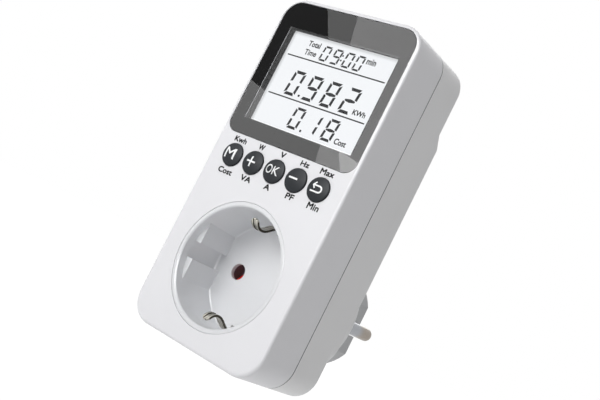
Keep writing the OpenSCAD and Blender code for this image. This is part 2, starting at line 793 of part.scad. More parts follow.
// Two wedges behind the pin holes, joined below: pins push them down and out of the way
module shutter() {
    wing_w = shutter_out_x - shutter_in_x;
    top = shutter_low_z - 0.3;
    color("firebrick") union() {
        for (s = [-1, 1]) strip_x(wing_w, s * (shutter_in_x + wing_w / 2)) polygon([
            [shutter_y, top], [shutter_y, shutter_low_z], [shutter_back_y - 0.6, shutter_high_z],
            [shutter_back_y, shutter_high_z], [shutter_back_y, top]]);
        block([-shutter_out_x, shutter_out_x], [shutter_y, shutter_back_y], [shutter_foot_z, top + eps]);
        block([-shutter_in_x - eps, shutter_in_x + eps], [shutter_y + 1.2, shutter_back_y - 1.2],
              [top, shutter_low_z + 1.4]);
    }
}

module shutter_spring() {
    color("silver") translate([0, (shutter_y + shutter_back_y) / 2, 0])
        coil(spring_r, spring_wire_r, [spring_low_z + tiny, shutter_foot_z - tiny], spring_turns);
}

// Two leaves that grip a pin, on a base that lets its tip through, with a tail to the main board
module socket_contact(side) {
    x = side * pin_x;
    reach = leaf_x + strip_t;
    tail = side > 0 ? tail_x : [-tail_x[1], -tail_x[0]];
    difference() {
        union() {
            for (s = [-1, 1]) block([x + s * (leaf_x + strip_t / 2) - strip_t / 2,
                                     x + s * (leaf_x + strip_t / 2) + strip_t / 2],
                                    [contact_y, contact_back_y], [-leaf_half_h, leaf_half_h]);
            block([min(x - reach, tail[0]), max(x + reach, tail[1])], [carrier_back_y, contact_back_y],
                  [-leaf_half_h, leaf_half_h]);
            block(tail, [carrier_back_y, contact_back_y], [0, tail_z + strip_t]);
            riser(tail, contact_back_y, tail_z);
        }
        rod_y(leaf_x - 0.05, [contact_y - 1, contact_back_y + 1], x);
    }
}

// A strip that runs forward at height z, up behind the main board and onto it
module riser(x, y, z) {
    block(x, [bar_front_y, y], [z, z + strip_t]);
    block(x, [bar_front_y, bar_front_y + strip_t], [z, bar_foot_z]);
    block(x, [main_board_y + board_t, bar_front_y + strip_t], [bar_foot_z - strip_t, bar_foot_z]);
}

module socket_contact_line() {
    color("darkgoldenrod") socket_contact(-1);
}

module socket_contact_neutral() {
    color("darkgoldenrod") socket_contact(1);
}

// A staple behind the carrier: each arm ends where its clip's root begins
module earth_strap() {
    y = [earth_strap_y, earth_strap_y + clip_t];
    color("darkgoldenrod") difference() {
        union() {
            for (s = [-1, 1]) block([-clip_w / 2, clip_w / 2], [pivot_y + 2.2, y[1]],
                                    [s * pivot_z - clip_t / 2, s * pivot_z + clip_t / 2]);
            block([-clip_w / 2, clip_w / 2], y, [-pivot_z, pivot_z]);
        }
        rod_y(rivet_r + tiny, [y[0] - 1, y[1] + 1]);
    }
}

// Middle line of the upper clip's strip, in Y and Z, from its root to its tip
function clip_path() = [for (p = [[3.4, 1.5], [1.4, 1.5], [-2.2, 1.4], [-5.4, 1.8], [-9.6, 4.1],
                                  [-12.2, 4.6], [-14.2, 3.9], [-15.7, 2.3]])
    [floor_y + p[0], recess_floor_r - p[1]]];

// A strip with a round end and a groove pressed along its inner face
module earth_clip() {
    path = curve(clip_path());
    end = path[len(path) - 1];
    ahead = end - path[len(path) - 2];
    side = [for (i = [0:len(path) - 1]) across(path, i)];
    inner_face = [for (i = [0:len(path) - 1]) path[i] + side[i] * clip_t / 2];
    difference() {
        intersection() {
            strip_x(clip_w) polygon(strip_outline(path, clip_t));
            translate([0, end[0], end[1]]) rotate([atan2(ahead[1], ahead[0]), 0, 0])
                translate([0, (clip_t - clip_w) / 2, 0]) {
                    cylinder(r = clip_w / 2, h = 4 * clip_t, center = true);
                    block([-clip_w, clip_w], [-2 * recess_d, 0], [-recess_r, recess_r]);
                }
        }
        strip_x(clip_groove_w) polygon(strip_outline(inner_face, 2 * clip_groove_d));
    }
}

module earth_clip_upper() {
    color("silver") earth_clip();
}

module earth_clip_lower() {
    color("silver") mirror([0, 0, 1]) earth_clip();
}

// Plug

module plug_outline(extra = 0) {
    difference() {
        circle(r = plug_r + extra);
        for (turn = [0, 180]) rotate(turn) {
            translate([plug_flat + extra, -20]) square([9, 40]);
            translate([plug_flat - notch_d + extra, -notch_w / 2 + extra]) square([9, notch_w - 2 * extra]);
        }
    }
}

module plug_body() {
    groove = clip_w / 2 + 0.4;
    floor_r = plug_strap_r - clip_t - tiny;
    color("gainsboro") difference() {
        union() {
            slab_y([flange_back_y, 0]) plug_outline();
            rod_y(collar_r - wall - 0.8, [flange_back_y, flange_y]);
        }
        for (s = [-1, 1]) {
            rod_y(pin_base_r + tiny, [flange_back_y - 1, 1], s * pin_x);
            block([-groove, groove], [flange_back_y - 1, -1.8],
                  s > 0 ? [floor_r, plug_r + 1] : [-plug_r - 1, -floor_r]);
        }
        rod_y(earth_hole_r, [-2, 1], 0, earth_hole_z);
        rod_y(sleeve_r() + tiny, [flange_back_y - 1, -1], 0, earth_hole_z);
        at_each(plug_screws_at) rod_y(small_screw_r + fit, [flange_back_y - 1, flange_y + 1]);
    }
}

function sleeve_r() = earth_hole_r + 0.6;

module plug_body_screws() {
    color("silver") at_each(plug_screws_at) facing_front(flange_back_y)
        screw(small_screw_r, small_screw_r * 1.8, flange_back_y, flange_t + wall - 0.75, 0.9);
}

// A round pin with a domed tip, on a thicker base in the plug, riveted to its bar at the inner end
module plug_pin(side) {
    dome = 2;
    edge = 1.6;
    bar_y = flange_back_y - strip_t;
    tip = [for (k = [0:6]) let (a = 90 * k / 6)
        [pin_r - edge + edge * cos(a), pin_l - dome + dome * sin(a)]];
    color("silver") turned_y(side * pin_x) polygon(concat(
        [[0, bar_y - 0.5], [1.5, bar_y - 0.5], [1.5, bar_y], [rivet_r, bar_y], [rivet_r, flange_back_y],
         [pin_base_r, flange_back_y], [pin_base_r, 0], [pin_r, 0]], tip, [[0, pin_l]]));
}

module plug_pin_line() { plug_pin(-1); }
module plug_pin_neutral() { plug_pin(1); }

// A bar from a plug pin's rivet up to the main board
module pin_bar(side) {
    x = [side * pin_x - bar_w / 2, side * pin_x + bar_w / 2];
    y = [flange_back_y - strip_t, flange_back_y];
    color("peru") difference() {
        union() {
            block(x, y, [-2.6, bar_z + strip_t]);
            riser(x, y[1], bar_z);
        }
        rod_y(rivet_r + tiny, [y[0] - 1, y[1] + 1], side * pin_x);
    }
}

module line_bar() { pin_bar(-1); }
module neutral_bar() { pin_bar(1); }

// A staple with the plug's two side contacts, in grooves of the plug body
module plug_earth_strap() {
    y = [plug_strap_y, plug_strap_y + strip_t];
    color("silver") difference() {
        union() {
            for (s = [-1, 1]) block([-clip_w / 2, clip_w / 2], [y[0], -2],
                                    s > 0 ? [plug_strap_r - clip_t, plug_strap_r]
                                          : [-plug_strap_r, -plug_strap_r + clip_t]);
            block([-clip_w / 2, clip_w / 2], y, [-plug_strap_r, plug_strap_r]);
        }
        rod_y(rivet_r + tiny, [y[0] - 1, y[1] + 1]);
    }
}

// A rivet through both earth straps, with a collar between them
module earth_link() {
    head_r = 1.9;
    front = earth_strap_y;
    back = plug_strap_y + strip_t;
    color("silver") union() {
        rod_y(head_r, [front - 0.3, front]);
        rod_y(rivet_r, [front - eps, back + eps]);
        rod_y(head_r, [front + clip_t, plug_strap_y]);
        rod_y(head_r, [back, back + 0.5]);
    }
}

// A blind sleeve for a wall socket's earth pin, standing on the plug's earth strap
module earth_pin_sleeve() {
    color("silver") difference() {
        rod_y(sleeve_r(), [plug_strap_y + strip_t, -1], 0, earth_hole_z);
        rod_y(earth_hole_r, [-earth_hole_depth, 0], 0, earth_hole_z);
    }
}

front_shell();
rear_shell();
housing_screws();
display_lens();
lens_mask();
lcd_frame();
lcd_glass();
light_guide();
backlight_leds();
elastomer_connector();
display_board();
display_board_screws();
controller_chip();
quartz_crystal();
tact_switches();
key_mode();
key_plus();
key_ok();
key_minus();
key_back();
plunger_mode();
plunger_plus();
plunger_ok();
plunger_minus();
plunger_back();
main_board();
main_board_screws();
board_header();
mains_capacitor();
filter_capacitor();
varistor();
fuse();
current_shunt();
bridge_rectifier();
metering_chip();
backup_battery();
socket_cup();
contact_carrier();
carrier_screws();
shutter();
shutter_spring();
socket_contact_line();
socket_contact_neutral();
earth_strap();
earth_clip_upper();
earth_clip_lower();
plug_body();
plug_body_screws();
plug_pin_line();
plug_pin_neutral();
line_bar();
neutral_bar();
plug_earth_strap();
earth_link();
earth_pin_sleeve();
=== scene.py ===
import bpy
import json
import math
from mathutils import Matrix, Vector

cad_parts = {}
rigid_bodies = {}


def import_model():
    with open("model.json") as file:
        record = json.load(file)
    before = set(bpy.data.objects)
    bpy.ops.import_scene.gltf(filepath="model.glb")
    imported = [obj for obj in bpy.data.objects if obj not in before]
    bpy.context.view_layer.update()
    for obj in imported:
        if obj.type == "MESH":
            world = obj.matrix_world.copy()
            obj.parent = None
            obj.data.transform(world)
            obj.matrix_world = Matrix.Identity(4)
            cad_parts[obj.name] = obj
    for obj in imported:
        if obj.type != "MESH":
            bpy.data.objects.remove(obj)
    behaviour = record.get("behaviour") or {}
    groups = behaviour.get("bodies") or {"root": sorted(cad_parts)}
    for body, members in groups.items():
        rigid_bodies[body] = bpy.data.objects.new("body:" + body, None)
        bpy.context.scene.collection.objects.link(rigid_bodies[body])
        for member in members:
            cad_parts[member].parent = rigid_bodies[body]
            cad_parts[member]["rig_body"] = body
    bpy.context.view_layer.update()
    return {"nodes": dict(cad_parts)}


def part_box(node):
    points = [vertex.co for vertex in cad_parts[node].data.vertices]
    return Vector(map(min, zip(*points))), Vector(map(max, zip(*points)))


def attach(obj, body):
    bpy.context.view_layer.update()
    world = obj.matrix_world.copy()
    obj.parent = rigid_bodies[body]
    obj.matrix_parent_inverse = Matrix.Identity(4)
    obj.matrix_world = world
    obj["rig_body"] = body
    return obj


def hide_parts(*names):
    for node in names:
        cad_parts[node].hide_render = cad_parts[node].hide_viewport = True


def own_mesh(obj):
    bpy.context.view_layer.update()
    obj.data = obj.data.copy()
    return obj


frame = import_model()            # the imported meter's nodes, each riding on its body
nodes = frame["nodes"]
mm = 0.001                   # everything in Blender is in metres


# camera: low and to the right of the meter, rolled so that the meter leans to the right

cameraLook = {
    "place": (0.1964, -0.2923, 0.0039),      # metres
    "turn": (95.299, -26.6986, 35.7083),     # degrees about X, Y and Z
    "lens": 58.109,                          # millimetres
    "sensor": 36,                            # its width in millimetres
    "nearClip": 0.01,                        # metres
}


def addCamera():
    turn = [math.radians(angle) for angle in cameraLook["turn"]]
    bpy.ops.object.camera_add(location=cameraLook["place"], rotation=turn)
    camera = bpy.context.object
    camera.name = "mainCamera"
    camera.data.sensor_width = cameraLook["sensor"]
    camera.data.lens = cameraLook["lens"]
    camera.data.clip_start = cameraLook["nearClip"]
    bpy.context.scene.camera = camera


addCamera()
print("camera placed")


# small tools for materials

def toLinear(hexText):
    # an sRGB hex colour as the linear numbers that a shader socket wants
    parts = [int(hexText[i:i + 2], 16) / 255 for i in (1, 3, 5)]
    linear = [p / 12.92 if p <= 0.04045 else ((p + 0.055) / 1.055) ** 2.4 for p in parts]
    return (*linear, 1)


def perSize(size):
    # the texture scale at which one blob is that many millimetres across
    return 1 / (size * mm)


def perBand(width):
    # the wave texture's scale at which a light or a dark band is that many millimetres wide; the
    # wave turns through 20 radians in one unit
    return perSize(width) / 20 * math.pi


def addNode(owner, kind, values={}, links={}, **choices):
    # adds a node to a material or world: choices first, then socket values, then links into it
    node = owner.node_tree.nodes.new(kind)
    for name, choice in choices.items():
        setattr(node, name, choice)
    for socket, value in values.items():
        node.inputs[socket].default_value = value
    for socket, output in links.items():
        owner.node_tree.links.new(output, node.inputs[socket])
    return node


def startMaterial(name, values):
    # a material with one Principled shader; what is the same all over is set on its own sockets
    material = bpy.data.materials.new(name)
    material.use_nodes = True
    shader = material.node_tree.nodes["Principled BSDF"]
    for socket, value in values.items():
        shader.inputs[socket].default_value = value
    return material, shader


def feed(material, shader, socket, output):
    material.node_tree.links.new(output, shader.inputs[socket])


def objectPlace(material):
    return addNode(material, "ShaderNodeTexCoord").outputs["Object"]


def mottle(material, shader, dark, light, size):
    # colour that drifts softly between two near shades; size is one patch in millimetres
    noise = addNode(material, "ShaderNodeTexNoise", {"Scale": perSize(size), "Detail": 2},
                    {"Vector": objectPlace(material)})
    shade = addNode(material, "ShaderNodeMix", {6: toLinear(dark), 7: toLinear(light)},
                    {"Factor": noise.outputs["Fac"]}, data_type="RGBA")
    feed(material, shader, "Base Color", shade.outputs[2])
    return shade.outputs[2]


def roughen(material, shader, grain, depth, low, high, patch=9):
    # relief of one grain size and depth, both in millimetres, and gloss that varies in patches
    place = objectPlace(material)
    fine = addNode(material, "ShaderNodeTexNoise", {"Scale": perSize(grain), "Detail": 3},
                   {"Vector": place})
    wide = addNode(material, "ShaderNodeTexNoise", {"Scale": perSize(patch), "Detail": 4},
                   {"Vector": place})
    gloss = addNode(material, "ShaderNodeMapRange",
                    {"From Min": 0.3, "From Max": 0.7, "To Min": low, "To Max": high},
                    {"Value": wide.outputs["Fac"]})
    feed(material, shader, "Roughness", gloss.outputs["Result"])
    relief = addNode(material, "ShaderNodeBump", {"Strength": 1, "Distance": depth * mm},
                     {"Height": fine.outputs["Fac"]})
    feed(material, shader, "Normal", relief.outputs["Normal"])
    return relief


def alongAxis(material, axis):
    # one coordinate of the surface point, in metres
    parts = addNode(material, "ShaderNodeSeparateXYZ", {}, {"Vector": objectPlace(material)})
    return parts.outputs[axis]


def between(material, value, low, high, soft=0.05):
    # 1 where a coordinate lies between two places in millimetres, with a soft step at each
    rise = addNode(material, "ShaderNodeMapRange",
                   {"From Min": (low - soft) * mm, "From Max": (low + soft) * mm},
                   {"Value": value})
    fall = addNode(material, "ShaderNodeMapRange",
                   {"From Min": (high - soft) * mm, "From Max": (high + soft) * mm,
                    "To Min": 1, "To Max": 0}, {"Value": value})
    both = addNode(material, "ShaderNodeMath", {}, {0: rise.outputs["Result"],
                                                    1: fall.outputs["Result"]},
                   operation="MULTIPLY")
    return both.outputs["Value"]


# materials that show from outside

shellLook = {"frontDark": "#E1E1E4", "frontLight": "#E6E6E9", "rearDark": "#E2E2E3",
             "rearLight": "#E8E8E9", "grain": 0.5, "depth": 0.006, "gloss": (0.36, 0.46),
             "seam": (-42.93, -42.56), "seamSoft": 0.04, "seamShadeAndDust": "#808084"}


def shellMaterial(name, dark, light):
    # ABS, moulded against a spark-eroded steel: an even satin sheen with a hair of grain, and a
    # dark line painted along the seam, between two places in millimetres, for the shade in the gap
    # between the shells and the dust that gathers there
    material, shader = startMaterial(name, {"IOR": 1.53})
    plastic = mottle(material, shader, dark, light, size=30)
    seam = between(material, alongAxis(material, "Y"), *shellLook["seam"],
                   shellLook["seamSoft"])
    # painted shade and dust: a darker colour along the seam between the front and rear shells
    shade = addNode(material, "ShaderNodeMix", {7: toLinear(shellLook["seamShadeAndDust"])},
                    {"Factor": seam, 6: plastic}, data_type="RGBA")
    feed(material, shader, "Base Color", shade.outputs[2])
    roughen(material, shader, shellLook["grain"], shellLook["depth"], *shellLook["gloss"])
    return material


def cupMaterial():
    # ABS, moulded against polished steel: whiter and glossier than the shell round it
    material, shader = startMaterial("absPolishedCup", {"IOR": 1.53})
    mottle(material, shader, "#DEDFE2", "#E2E3E5", size=30)
    roughen(material, shader, grain=1.2, depth=0.003, low=0.29, high=0.32, patch=20)
    return material


def plugMaterial():
    # polyamide, moulded: a duller grey than the ABS, with flow clouds, and painted darker to stand
    # for the shade the plug sits in
    material, shader = startMaterial("polyamideMoulded", {"IOR": 1.53})
    # painted shade: these greys are darker than the plastic, for the shade round the plug
    mottle(material, shader, "#B0B1B3", "#B9BABC", size=14)
    roughen(material, shader, grain=0.45, depth=0.008, low=0.4, high=0.52)
    return material


def lensMaterial():
    # acrylic, cast and laser cut: water clear, with a hard mirror gloss, and upright wipe marks
    # too faint to blur what it mirrors
    material, shader = startMaterial("acrylicCastClear", {
        "Base Color": toLinear("#FAFBFC"), "IOR": 1.49, "Transmission Weight": 1})
    stretched = addNode(material, "ShaderNodeMapping", {"Scale": (1, 1, 0.06)},
                        {"Vector": objectPlace(material)})
    wipe = addNode(material, "ShaderNodeTexNoise", {"Scale": perSize(0.8), "Detail": 4},
                   {"Vector": stretched.outputs["Vector"]})
    haze = addNode(material, "ShaderNodeMapRange",
                   {"From Min": 0.55, "From Max": 0.8, "To Min": 0, "To Max": 0.0035},
                   {"Value": wipe.outputs["Fac"]})
    feed(material, shader, "Roughness", haze.outputs["Result"])
    return material


def maskMaterial():
    # black ink, screen printed on the lens's back: a dense matt black with the mesh's faint weave
    material, shader = startMaterial("inkScreenedBlack", {"Specular IOR Level": 0})
    mottle(material, shader, "#020203", "#040405", size=6)
    roughen(material, shader, grain=0.3, depth=0.004, low=0.5, high=0.65)
    return material


def bezelMaterial():
    # polycarbonate, moulded with a fine matt texture: a dark grey that the display lights up
    material, shader = startMaterial("polycarbonateMouldedGrey", {"IOR": 1.58,
                                                                  "Specular IOR Level": 0.05})
    mottle(material, shader, "#0C0D0E", "#101112", size=8)
    roughen(material, shader, grain=0.3, depth=0.01, low=0.45, high=0.6)
    return material


# the glow falls off a little at every edge, and more at the left and top, where a painted shadow of
# the frame darkens it
displayLook = {"glow": 1.065, "colour": "#F6F7F9",
               "edge": 1.5,                              # how wide the fall-off is, millimetres
               "leftAndTopShadowed": 0.66, "rightAndLow": 0.94}  # the light's share left at each edge


def displayMaterial(left, right, bottom, top):
    # display glass over a light guide: an even cool white glow that falls off a little at the edges
    # of the frame's opening, which is given in millimetres, and more at the left and top, where a
    # shadow of the frame is painted into the glow
    material, shader = startMaterial("displayGlassLit", {
        "Base Color": toLinear("#20221F"), "Roughness": 0.3, "IOR": 1.5,
        "Specular IOR Level": 0, "Emission Strength": displayLook["glow"]})
    edges = [("X", left, 1, "leftAndTopShadowed"), ("X", right, -1, "rightAndLow"),
             ("Z", top, -1, "leftAndTopShadowed"), ("Z", bottom, 1, "rightAndLow")]
    light = None
    for axis, edge, inward, share in edges:
        fade = addNode(material, "ShaderNodeMapRange",
                       {"From Min": edge * mm,
                        "From Max": (edge + inward * displayLook["edge"]) * mm,
                        "To Min": displayLook[share], "To Max": 1},
                       {"Value": alongAxis(material, axis)}, interpolation_type="SMOOTHSTEP")
        if light is None:
            light = fade.outputs["Result"]
        else:
            light = addNode(material, "ShaderNodeMath", {}, {0: light, 1: fade.outputs["Result"]},
                            operation="MULTIPLY").outputs["Value"]
    cloud = addNode(material, "ShaderNodeTexNoise", {"Scale": perSize(18), "Detail": 1},
                    {"Vector": objectPlace(material)})
    even = addNode(material, "ShaderNodeMapRange", {"To Min": 0.985, "To Max": 1.005},
                   {"Value": cloud.outputs["Fac"]})
    light = addNode(material, "ShaderNodeMath", {}, {0: light, 1: even.outputs["Result"]},
                    operation="MULTIPLY").outputs["Value"]
    glow = addNode(material, "ShaderNodeMix",
                   {6: toLinear("#000000"), 7: toLinear(displayLook["colour"])},
                   {"Factor": light}, data_type="RGBA")
    feed(material, shader, "Emission Color", glow.outputs[2])
    return material


def segmentMaterial():
    # liquid crystal, switched dark: a near black with a faint blue cast and soft patches
    material, shader = startMaterial("liquidCrystalDark", {"Specular IOR Level": 0})
    mottle(material, shader, "#08090C", "#15171B", size=3)
    roughen(material, shader, grain=0.3, depth=0.002, low=0.5, high=0.6)
    return material


def keyMaterial():
    # ABS, moulded in a charcoal colour with a fine satin texture, polished a little by thumbs
    material, shader = startMaterial("absMouldedCharcoal", {"IOR": 1.5, "Specular IOR Level": 0.2})
    mottle(material, shader, "#202327", "#25282C", size=5)
    roughen(material, shader, grain=0.35, depth=0.012, low=0.5, high=0.62, patch=3)
    return material


def signMaterial():
    # white ink, pad printed: opaque, slightly raised and a touch uneven where the pad lifted
    material, shader = startMaterial("inkPadPrintedWhite", {"IOR": 1.5})
    mottle(material, shader, "#F0F1F2", "#FAFBFB", size=1.5)
    roughen(material, shader, grain=0.25, depth=0.006, low=0.4, high=0.55)
    return material


def legendMaterial():
    # dark grey ink, pad printed on the shell: dense, with edges softened by the texture under it
    material, shader = startMaterial("inkPadPrintedGrey", {"IOR": 1.5})
    mottle(material, shader, "#0B0C0D", "#151618", size=1)
    roughen(material, shader, grain=0.3, depth=0.008, low=0.42, high=0.58)
    return material


def shutterMaterial():
    # polycarbonate, moulded in red: glossy, with a faint red glow painted on, so that it shows lit
    # deep in its slot
    material, shader = startMaterial("polycarbonateMouldedRed", {
        # painted glow: the shutter is no lamp, but gives off a little red light
        "IOR": 1.58, "Emission Color": toLinear("#C0281F"), "Emission Strength": 0.12})
    mottle(material, shader, "#CC1E16", "#DA2F24", size=4)
    roughen(material, shader, grain=0.6, depth=0.006, low=0.25, high=0.36)
    return material


# places across the strip, in millimetres, of the painted shade along the groove and the sheared
# edges
clipLook = {"groove": (0.48, 0.68), "rim": (1.34, 1.6), "soft": 0.06, "dark": "#4A463F"}


def clipMaterial():
    # spring bronze, stamped and nickel plated: bright faces with the strip's rolling lines, and
    # painted shade along the pressed groove and the sheared edges, whose places across the strip
    # are in millimetres
    material, shader = startMaterial("nickelPlatedStrip", {"Metallic": 1})
    plated = mottle(material, shader, "#B9B6AB", "#D6D3C9", size=2)
    across = addNode(material, "ShaderNodeMath", {}, {0: alongAxis(material, "X")},
                     operation="ABSOLUTE").outputs["Value"]
    pressed = between(material, across, *clipLook["groove"], clipLook["soft"])
    rim = between(material, across, *clipLook["rim"], clipLook["soft"])
    paintedShade = addNode(material, "ShaderNodeMath", {}, {0: pressed, 1: rim}, operation="MAXIMUM")
    shade = addNode(material, "ShaderNodeMix", {7: toLinear(clipLook["dark"])},
                    {"Factor": paintedShade.outputs["Value"], 6: plated}, data_type="RGBA")
    feed(material, shader, "Base Color", shade.outputs[2])
    drawn = addNode(material, "ShaderNodeMapping", {"Scale": (1, 0.05, 0.05)},
                    {"Vector": objectPlace(material)})
    lines = addNode(material, "ShaderNodeTexNoise", {"Scale": perSize(0.25), "Detail": 2},
                    {"Vector": drawn.outputs["Vector"]})
    gloss = addNode(material, "ShaderNodeMapRange", {"To Min": 0.16, "To Max": 0.42},
                    {"Value": lines.outputs["Fac"]})
    feed(material, shader, "Roughness", gloss.outputs["Result"])
    relief = addNode(material, "ShaderNodeBump", {"Strength": 1, "Distance": 0.006 * mm},
                     {"Height": lines.outputs["Fac"]})
    feed(material, shader, "Normal", relief.outputs["Normal"])
    return material


pinLook = {"tipDark": "#857D75", "tipLight": "#9B938A", "foot": "#989A9E", "worn": (8, 13)}


def pinMaterial():
    # brass, turned and nickel plated: rings of the tool's feed, drawn coarse enough to show, and a
    # warmer tip, where sockets have worn the plating; the wear starts and ends at places along it
    material, shader = startMaterial("nickelPlatedTurned", {"Metallic": 1})
    tip = mottle(material, shader, pinLook["tipDark"], pinLook["tipLight"], size=3)
    worn = addNode(material, "ShaderNodeMapRange",
                   {"From Min": pinLook["worn"][0] * mm, "From Max": pinLook["worn"][1] * mm},
                   {"Value": alongAxis(material, "Y")}, interpolation_type="SMOOTHSTEP")
    shade = addNode(material, "ShaderNodeMix", {6: toLinear(pinLook["foot"])},
                    {"Factor": worn.outputs["Result"], 7: tip}, data_type="RGBA")
    feed(material, shader, "Base Color", shade.outputs[2])
    place = objectPlace(material)
    rings = addNode(material, "ShaderNodeTexWave",
                    {"Scale": perBand(0.7), "Distortion": 1.2, "Detail": 2},
                    {"Vector": place}, bands_direction="Y")
    scuffs = addNode(material, "ShaderNodeTexNoise", {"Scale": perSize(1.6), "Detail": 5},
                     {"Vector": place})
    gloss = addNode(material, "ShaderNodeMapRange", {"To Min": 0.22, "To Max": 0.45},
                    {"Value": scuffs.outputs["Fac"]})
    feed(material, shader, "Roughness", gloss.outputs["Result"])
    relief = addNode(material, "ShaderNodeBump", {"Strength": 1, "Distance": 0.004 * mm},
                     {"Height": rings.outputs["Fac"]})
    feed(material, shader, "Normal", relief.outputs["Normal"])
    return material


def screwMaterial():
    # steel, cold headed and zinc plated: a bluish grey with a cloudy passivated bloom
    material, shader = startMaterial("zincPlatedSteel", {"Metallic": 1})
    mottle(material, shader, "#A7AAAE", "#C3C6CA", size=1.2)
    roughen(material, shader, grain=0.25, depth=0.006, low=0.28, high=0.48, patch=2)
    return material


# materials of the inner works

def plainPlastic(name, dark, light, grain, depth, low, high):
    # moulded or cast plastic and resin: patches of two near shades, and the finish of its mould
    material, shader = startMaterial(name, {"IOR": 1.5})
    mottle(material, shader, dark, light, size=4)
    roughen(material, shader, grain, depth, low, high, patch=3)
    return material


def plainMetal(name, dark, light, grain, depth, low, high):
    # sheet, wire or drawn metal: tarnish in soft patches and the scuffs of its making
    material, shader = startMaterial(name, {"Metallic": 1})
    mottle(material, shader, dark, light, size=3)
    roughen(material, shader, grain, depth, low, high, patch=2)
    return material


def laminateMaterial():
    # glass fibre board under solder mask: the tracks stand a little proud and lighter in the green
    material, shader = startMaterial("laminateSolderMask", {"IOR": 1.52, "Coat Weight": 0.3,
                                                            "Coat Roughness": 0.15})
    turned = addNode(material, "ShaderNodeMapping", {"Rotation": (math.pi / 2, 0, 0)},
                     {"Vector": objectPlace(material)})
    tracks = addNode(material, "ShaderNodeTexBrick",
                     {"Color1": (0, 0, 0, 1), "Color2": (0, 0, 0, 1), "Mortar": (1, 1, 1, 1),
                      "Scale": 1, "Mortar Size": 0.35 * mm, "Mortar Smooth": 0.2,
                      "Brick Width": 7 * mm, "Row Height": 2.2 * mm},
                     {"Vector": turned.outputs["Vector"]})
    colour = addNode(material, "ShaderNodeMix", {6: toLinear("#0B4A26"), 7: toLinear("#2A7A46")},
                     {"Factor": tracks.outputs["Color"]}, data_type="RGBA")
    feed(material, shader, "Base Color", colour.outputs[2])
    weave = roughen(material, shader, grain=0.4, depth=0.004, low=0.3, high=0.42)
    relief = addNode(material, "ShaderNodeBump", {"Strength": 1, "Distance": 0.03 * mm},
                     {"Height": tracks.outputs["Color"], "Normal": weave.outputs["Normal"]})
    feed(material, shader, "Normal", relief.outputs["Normal"])
    return material


def twoPartMaterial(name, axis, low, high, inside, outside, gloss):
    # a piece with a plain middle and metal ends, such as a fuse's glass and caps, split along one
    # axis at two places in millimetres
    material, shader = startMaterial(name, {"IOR": 1.5})
    part = between(material, alongAxis(material, axis), low, high)
    noise = addNode(material, "ShaderNodeTexNoise", {"Scale": perSize(2), "Detail": 3},
                    {"Vector": objectPlace(material)})
    colour = addNode(material, "ShaderNodeMix", {6: toLinear(outside), 7: toLinear(inside)},
                     {"Factor": part}, data_type="RGBA")
    soft = addNode(material, "ShaderNodeMix", {0: 0.12, 7: toLinear("#808080")},
                   {6: colour.outputs[2]}, data_type="RGBA", blend_type="OVERLAY")
    feed(material, shader, "Base Color", soft.outputs[2])
    metal = addNode(material, "ShaderNodeMapRange", {"To Min": 1, "To Max": 0}, {"Value": part})
    feed(material, shader, "Metallic", metal.outputs["Result"])
    rough = addNode(material, "ShaderNodeMapRange", {"To Min": gloss[0], "To Max": gloss[1]},
                    {"Value": noise.outputs["Fac"]})
    feed(material, shader, "Roughness", rough.outputs["Result"])
    relief = addNode(material, "ShaderNodeBump", {"Strength": 1, "Distance": 0.01 * mm},
                     {"Height": noise.outputs["Fac"]})
    feed(material, shader, "Normal", relief.outputs["Normal"])
    return material


def elastomerMaterial():
    # silicone with carbon layers across it: fine dark stripes, drawn coarser than the real pitch
    material, shader = startMaterial("siliconeLayered", {"IOR": 1.41})
    stripes = addNode(material, "ShaderNodeTexWave", {"Scale": perBand(0.6)},
                      {"Vector": objectPlace(material)}, bands_direction="X")
    colour = addNode(material, "ShaderNodeMix", {6: toLinear("#D98C97"), 7: toLinear("#2A2527")},
                     {"Factor": stripes.outputs["Fac"]}, data_type="RGBA")
    feed(material, shader, "Base Color", colour.outputs[2])
    roughen(material, shader, grain=0.5, depth=0.01, low=0.5, high=0.65)
    return material


def paint(material, *names):
    # gives CAD nodes that keep their own mesh their material
    for name in names:
        nodes[name].data.materials.clear()
        nodes[name].data.materials.append(material)


keyNames = ["mode", "plus", "ok", "minus", "back"]

# two shades, the relief's grain and depth in millimetres, the gloss from and to, and the nodes
metalPieces = {
    "brassStamped": ("#B08A45", "#C9A35C", 0.4, 0.008, 0.25, 0.4,
                     ["socket_contact_line", "socket_contact_neutral", "earth_strap"]),
    "copperStamped": ("#A5603C", "#C07A52", 0.4, 0.008, 0.25, 0.42, ["line_bar", "neutral_bar"]),
    "steelCanDrawn": ("#B4B5B6", "#CFD0D1", 0.5, 0.005, 0.2, 0.32, ["quartz_crystal"]),
    "copperNickelWire": ("#9C7450", "#B88F68", 0.4, 0.008, 0.3, 0.45, ["current_shunt"]),
}
plasticPieces = {
    "acrylicLightGuide": ("#E6ECEE", "#F2F7F8", 0.8, 0.004, 0.2, 0.3, ["light_guide"]),
    "epoxyCastLamp": ("#EDE6C4", "#F6F0D8", 0.5, 0.003, 0.15, 0.25, ["backlight_leds"]),
    "epoxyMouldedChip": ("#17181A", "#1F2022", 0.3, 0.015, 0.5, 0.62,
                         ["controller_chip", "bridge_rectifier"]),
    "switchNylonBlack": ("#151517", "#1E1F21", 0.4, 0.01, 0.42, 0.55,
                         ["plunger_" + name for name in keyNames]),
    "headerNylonBlack": ("#101112", "#191A1B", 0.4, 0.01, 0.45, 0.58, ["board_header"]),
    "polyesterPottedYellow": ("#D79A16", "#E8B02C", 0.7, 0.008, 0.25, 0.36, ["mains_capacitor"]),
    "phenolicCarrier": ("#857683", "#938491", 0.5, 0.015, 0.5, 0.62, ["contact_carrier"]),
}

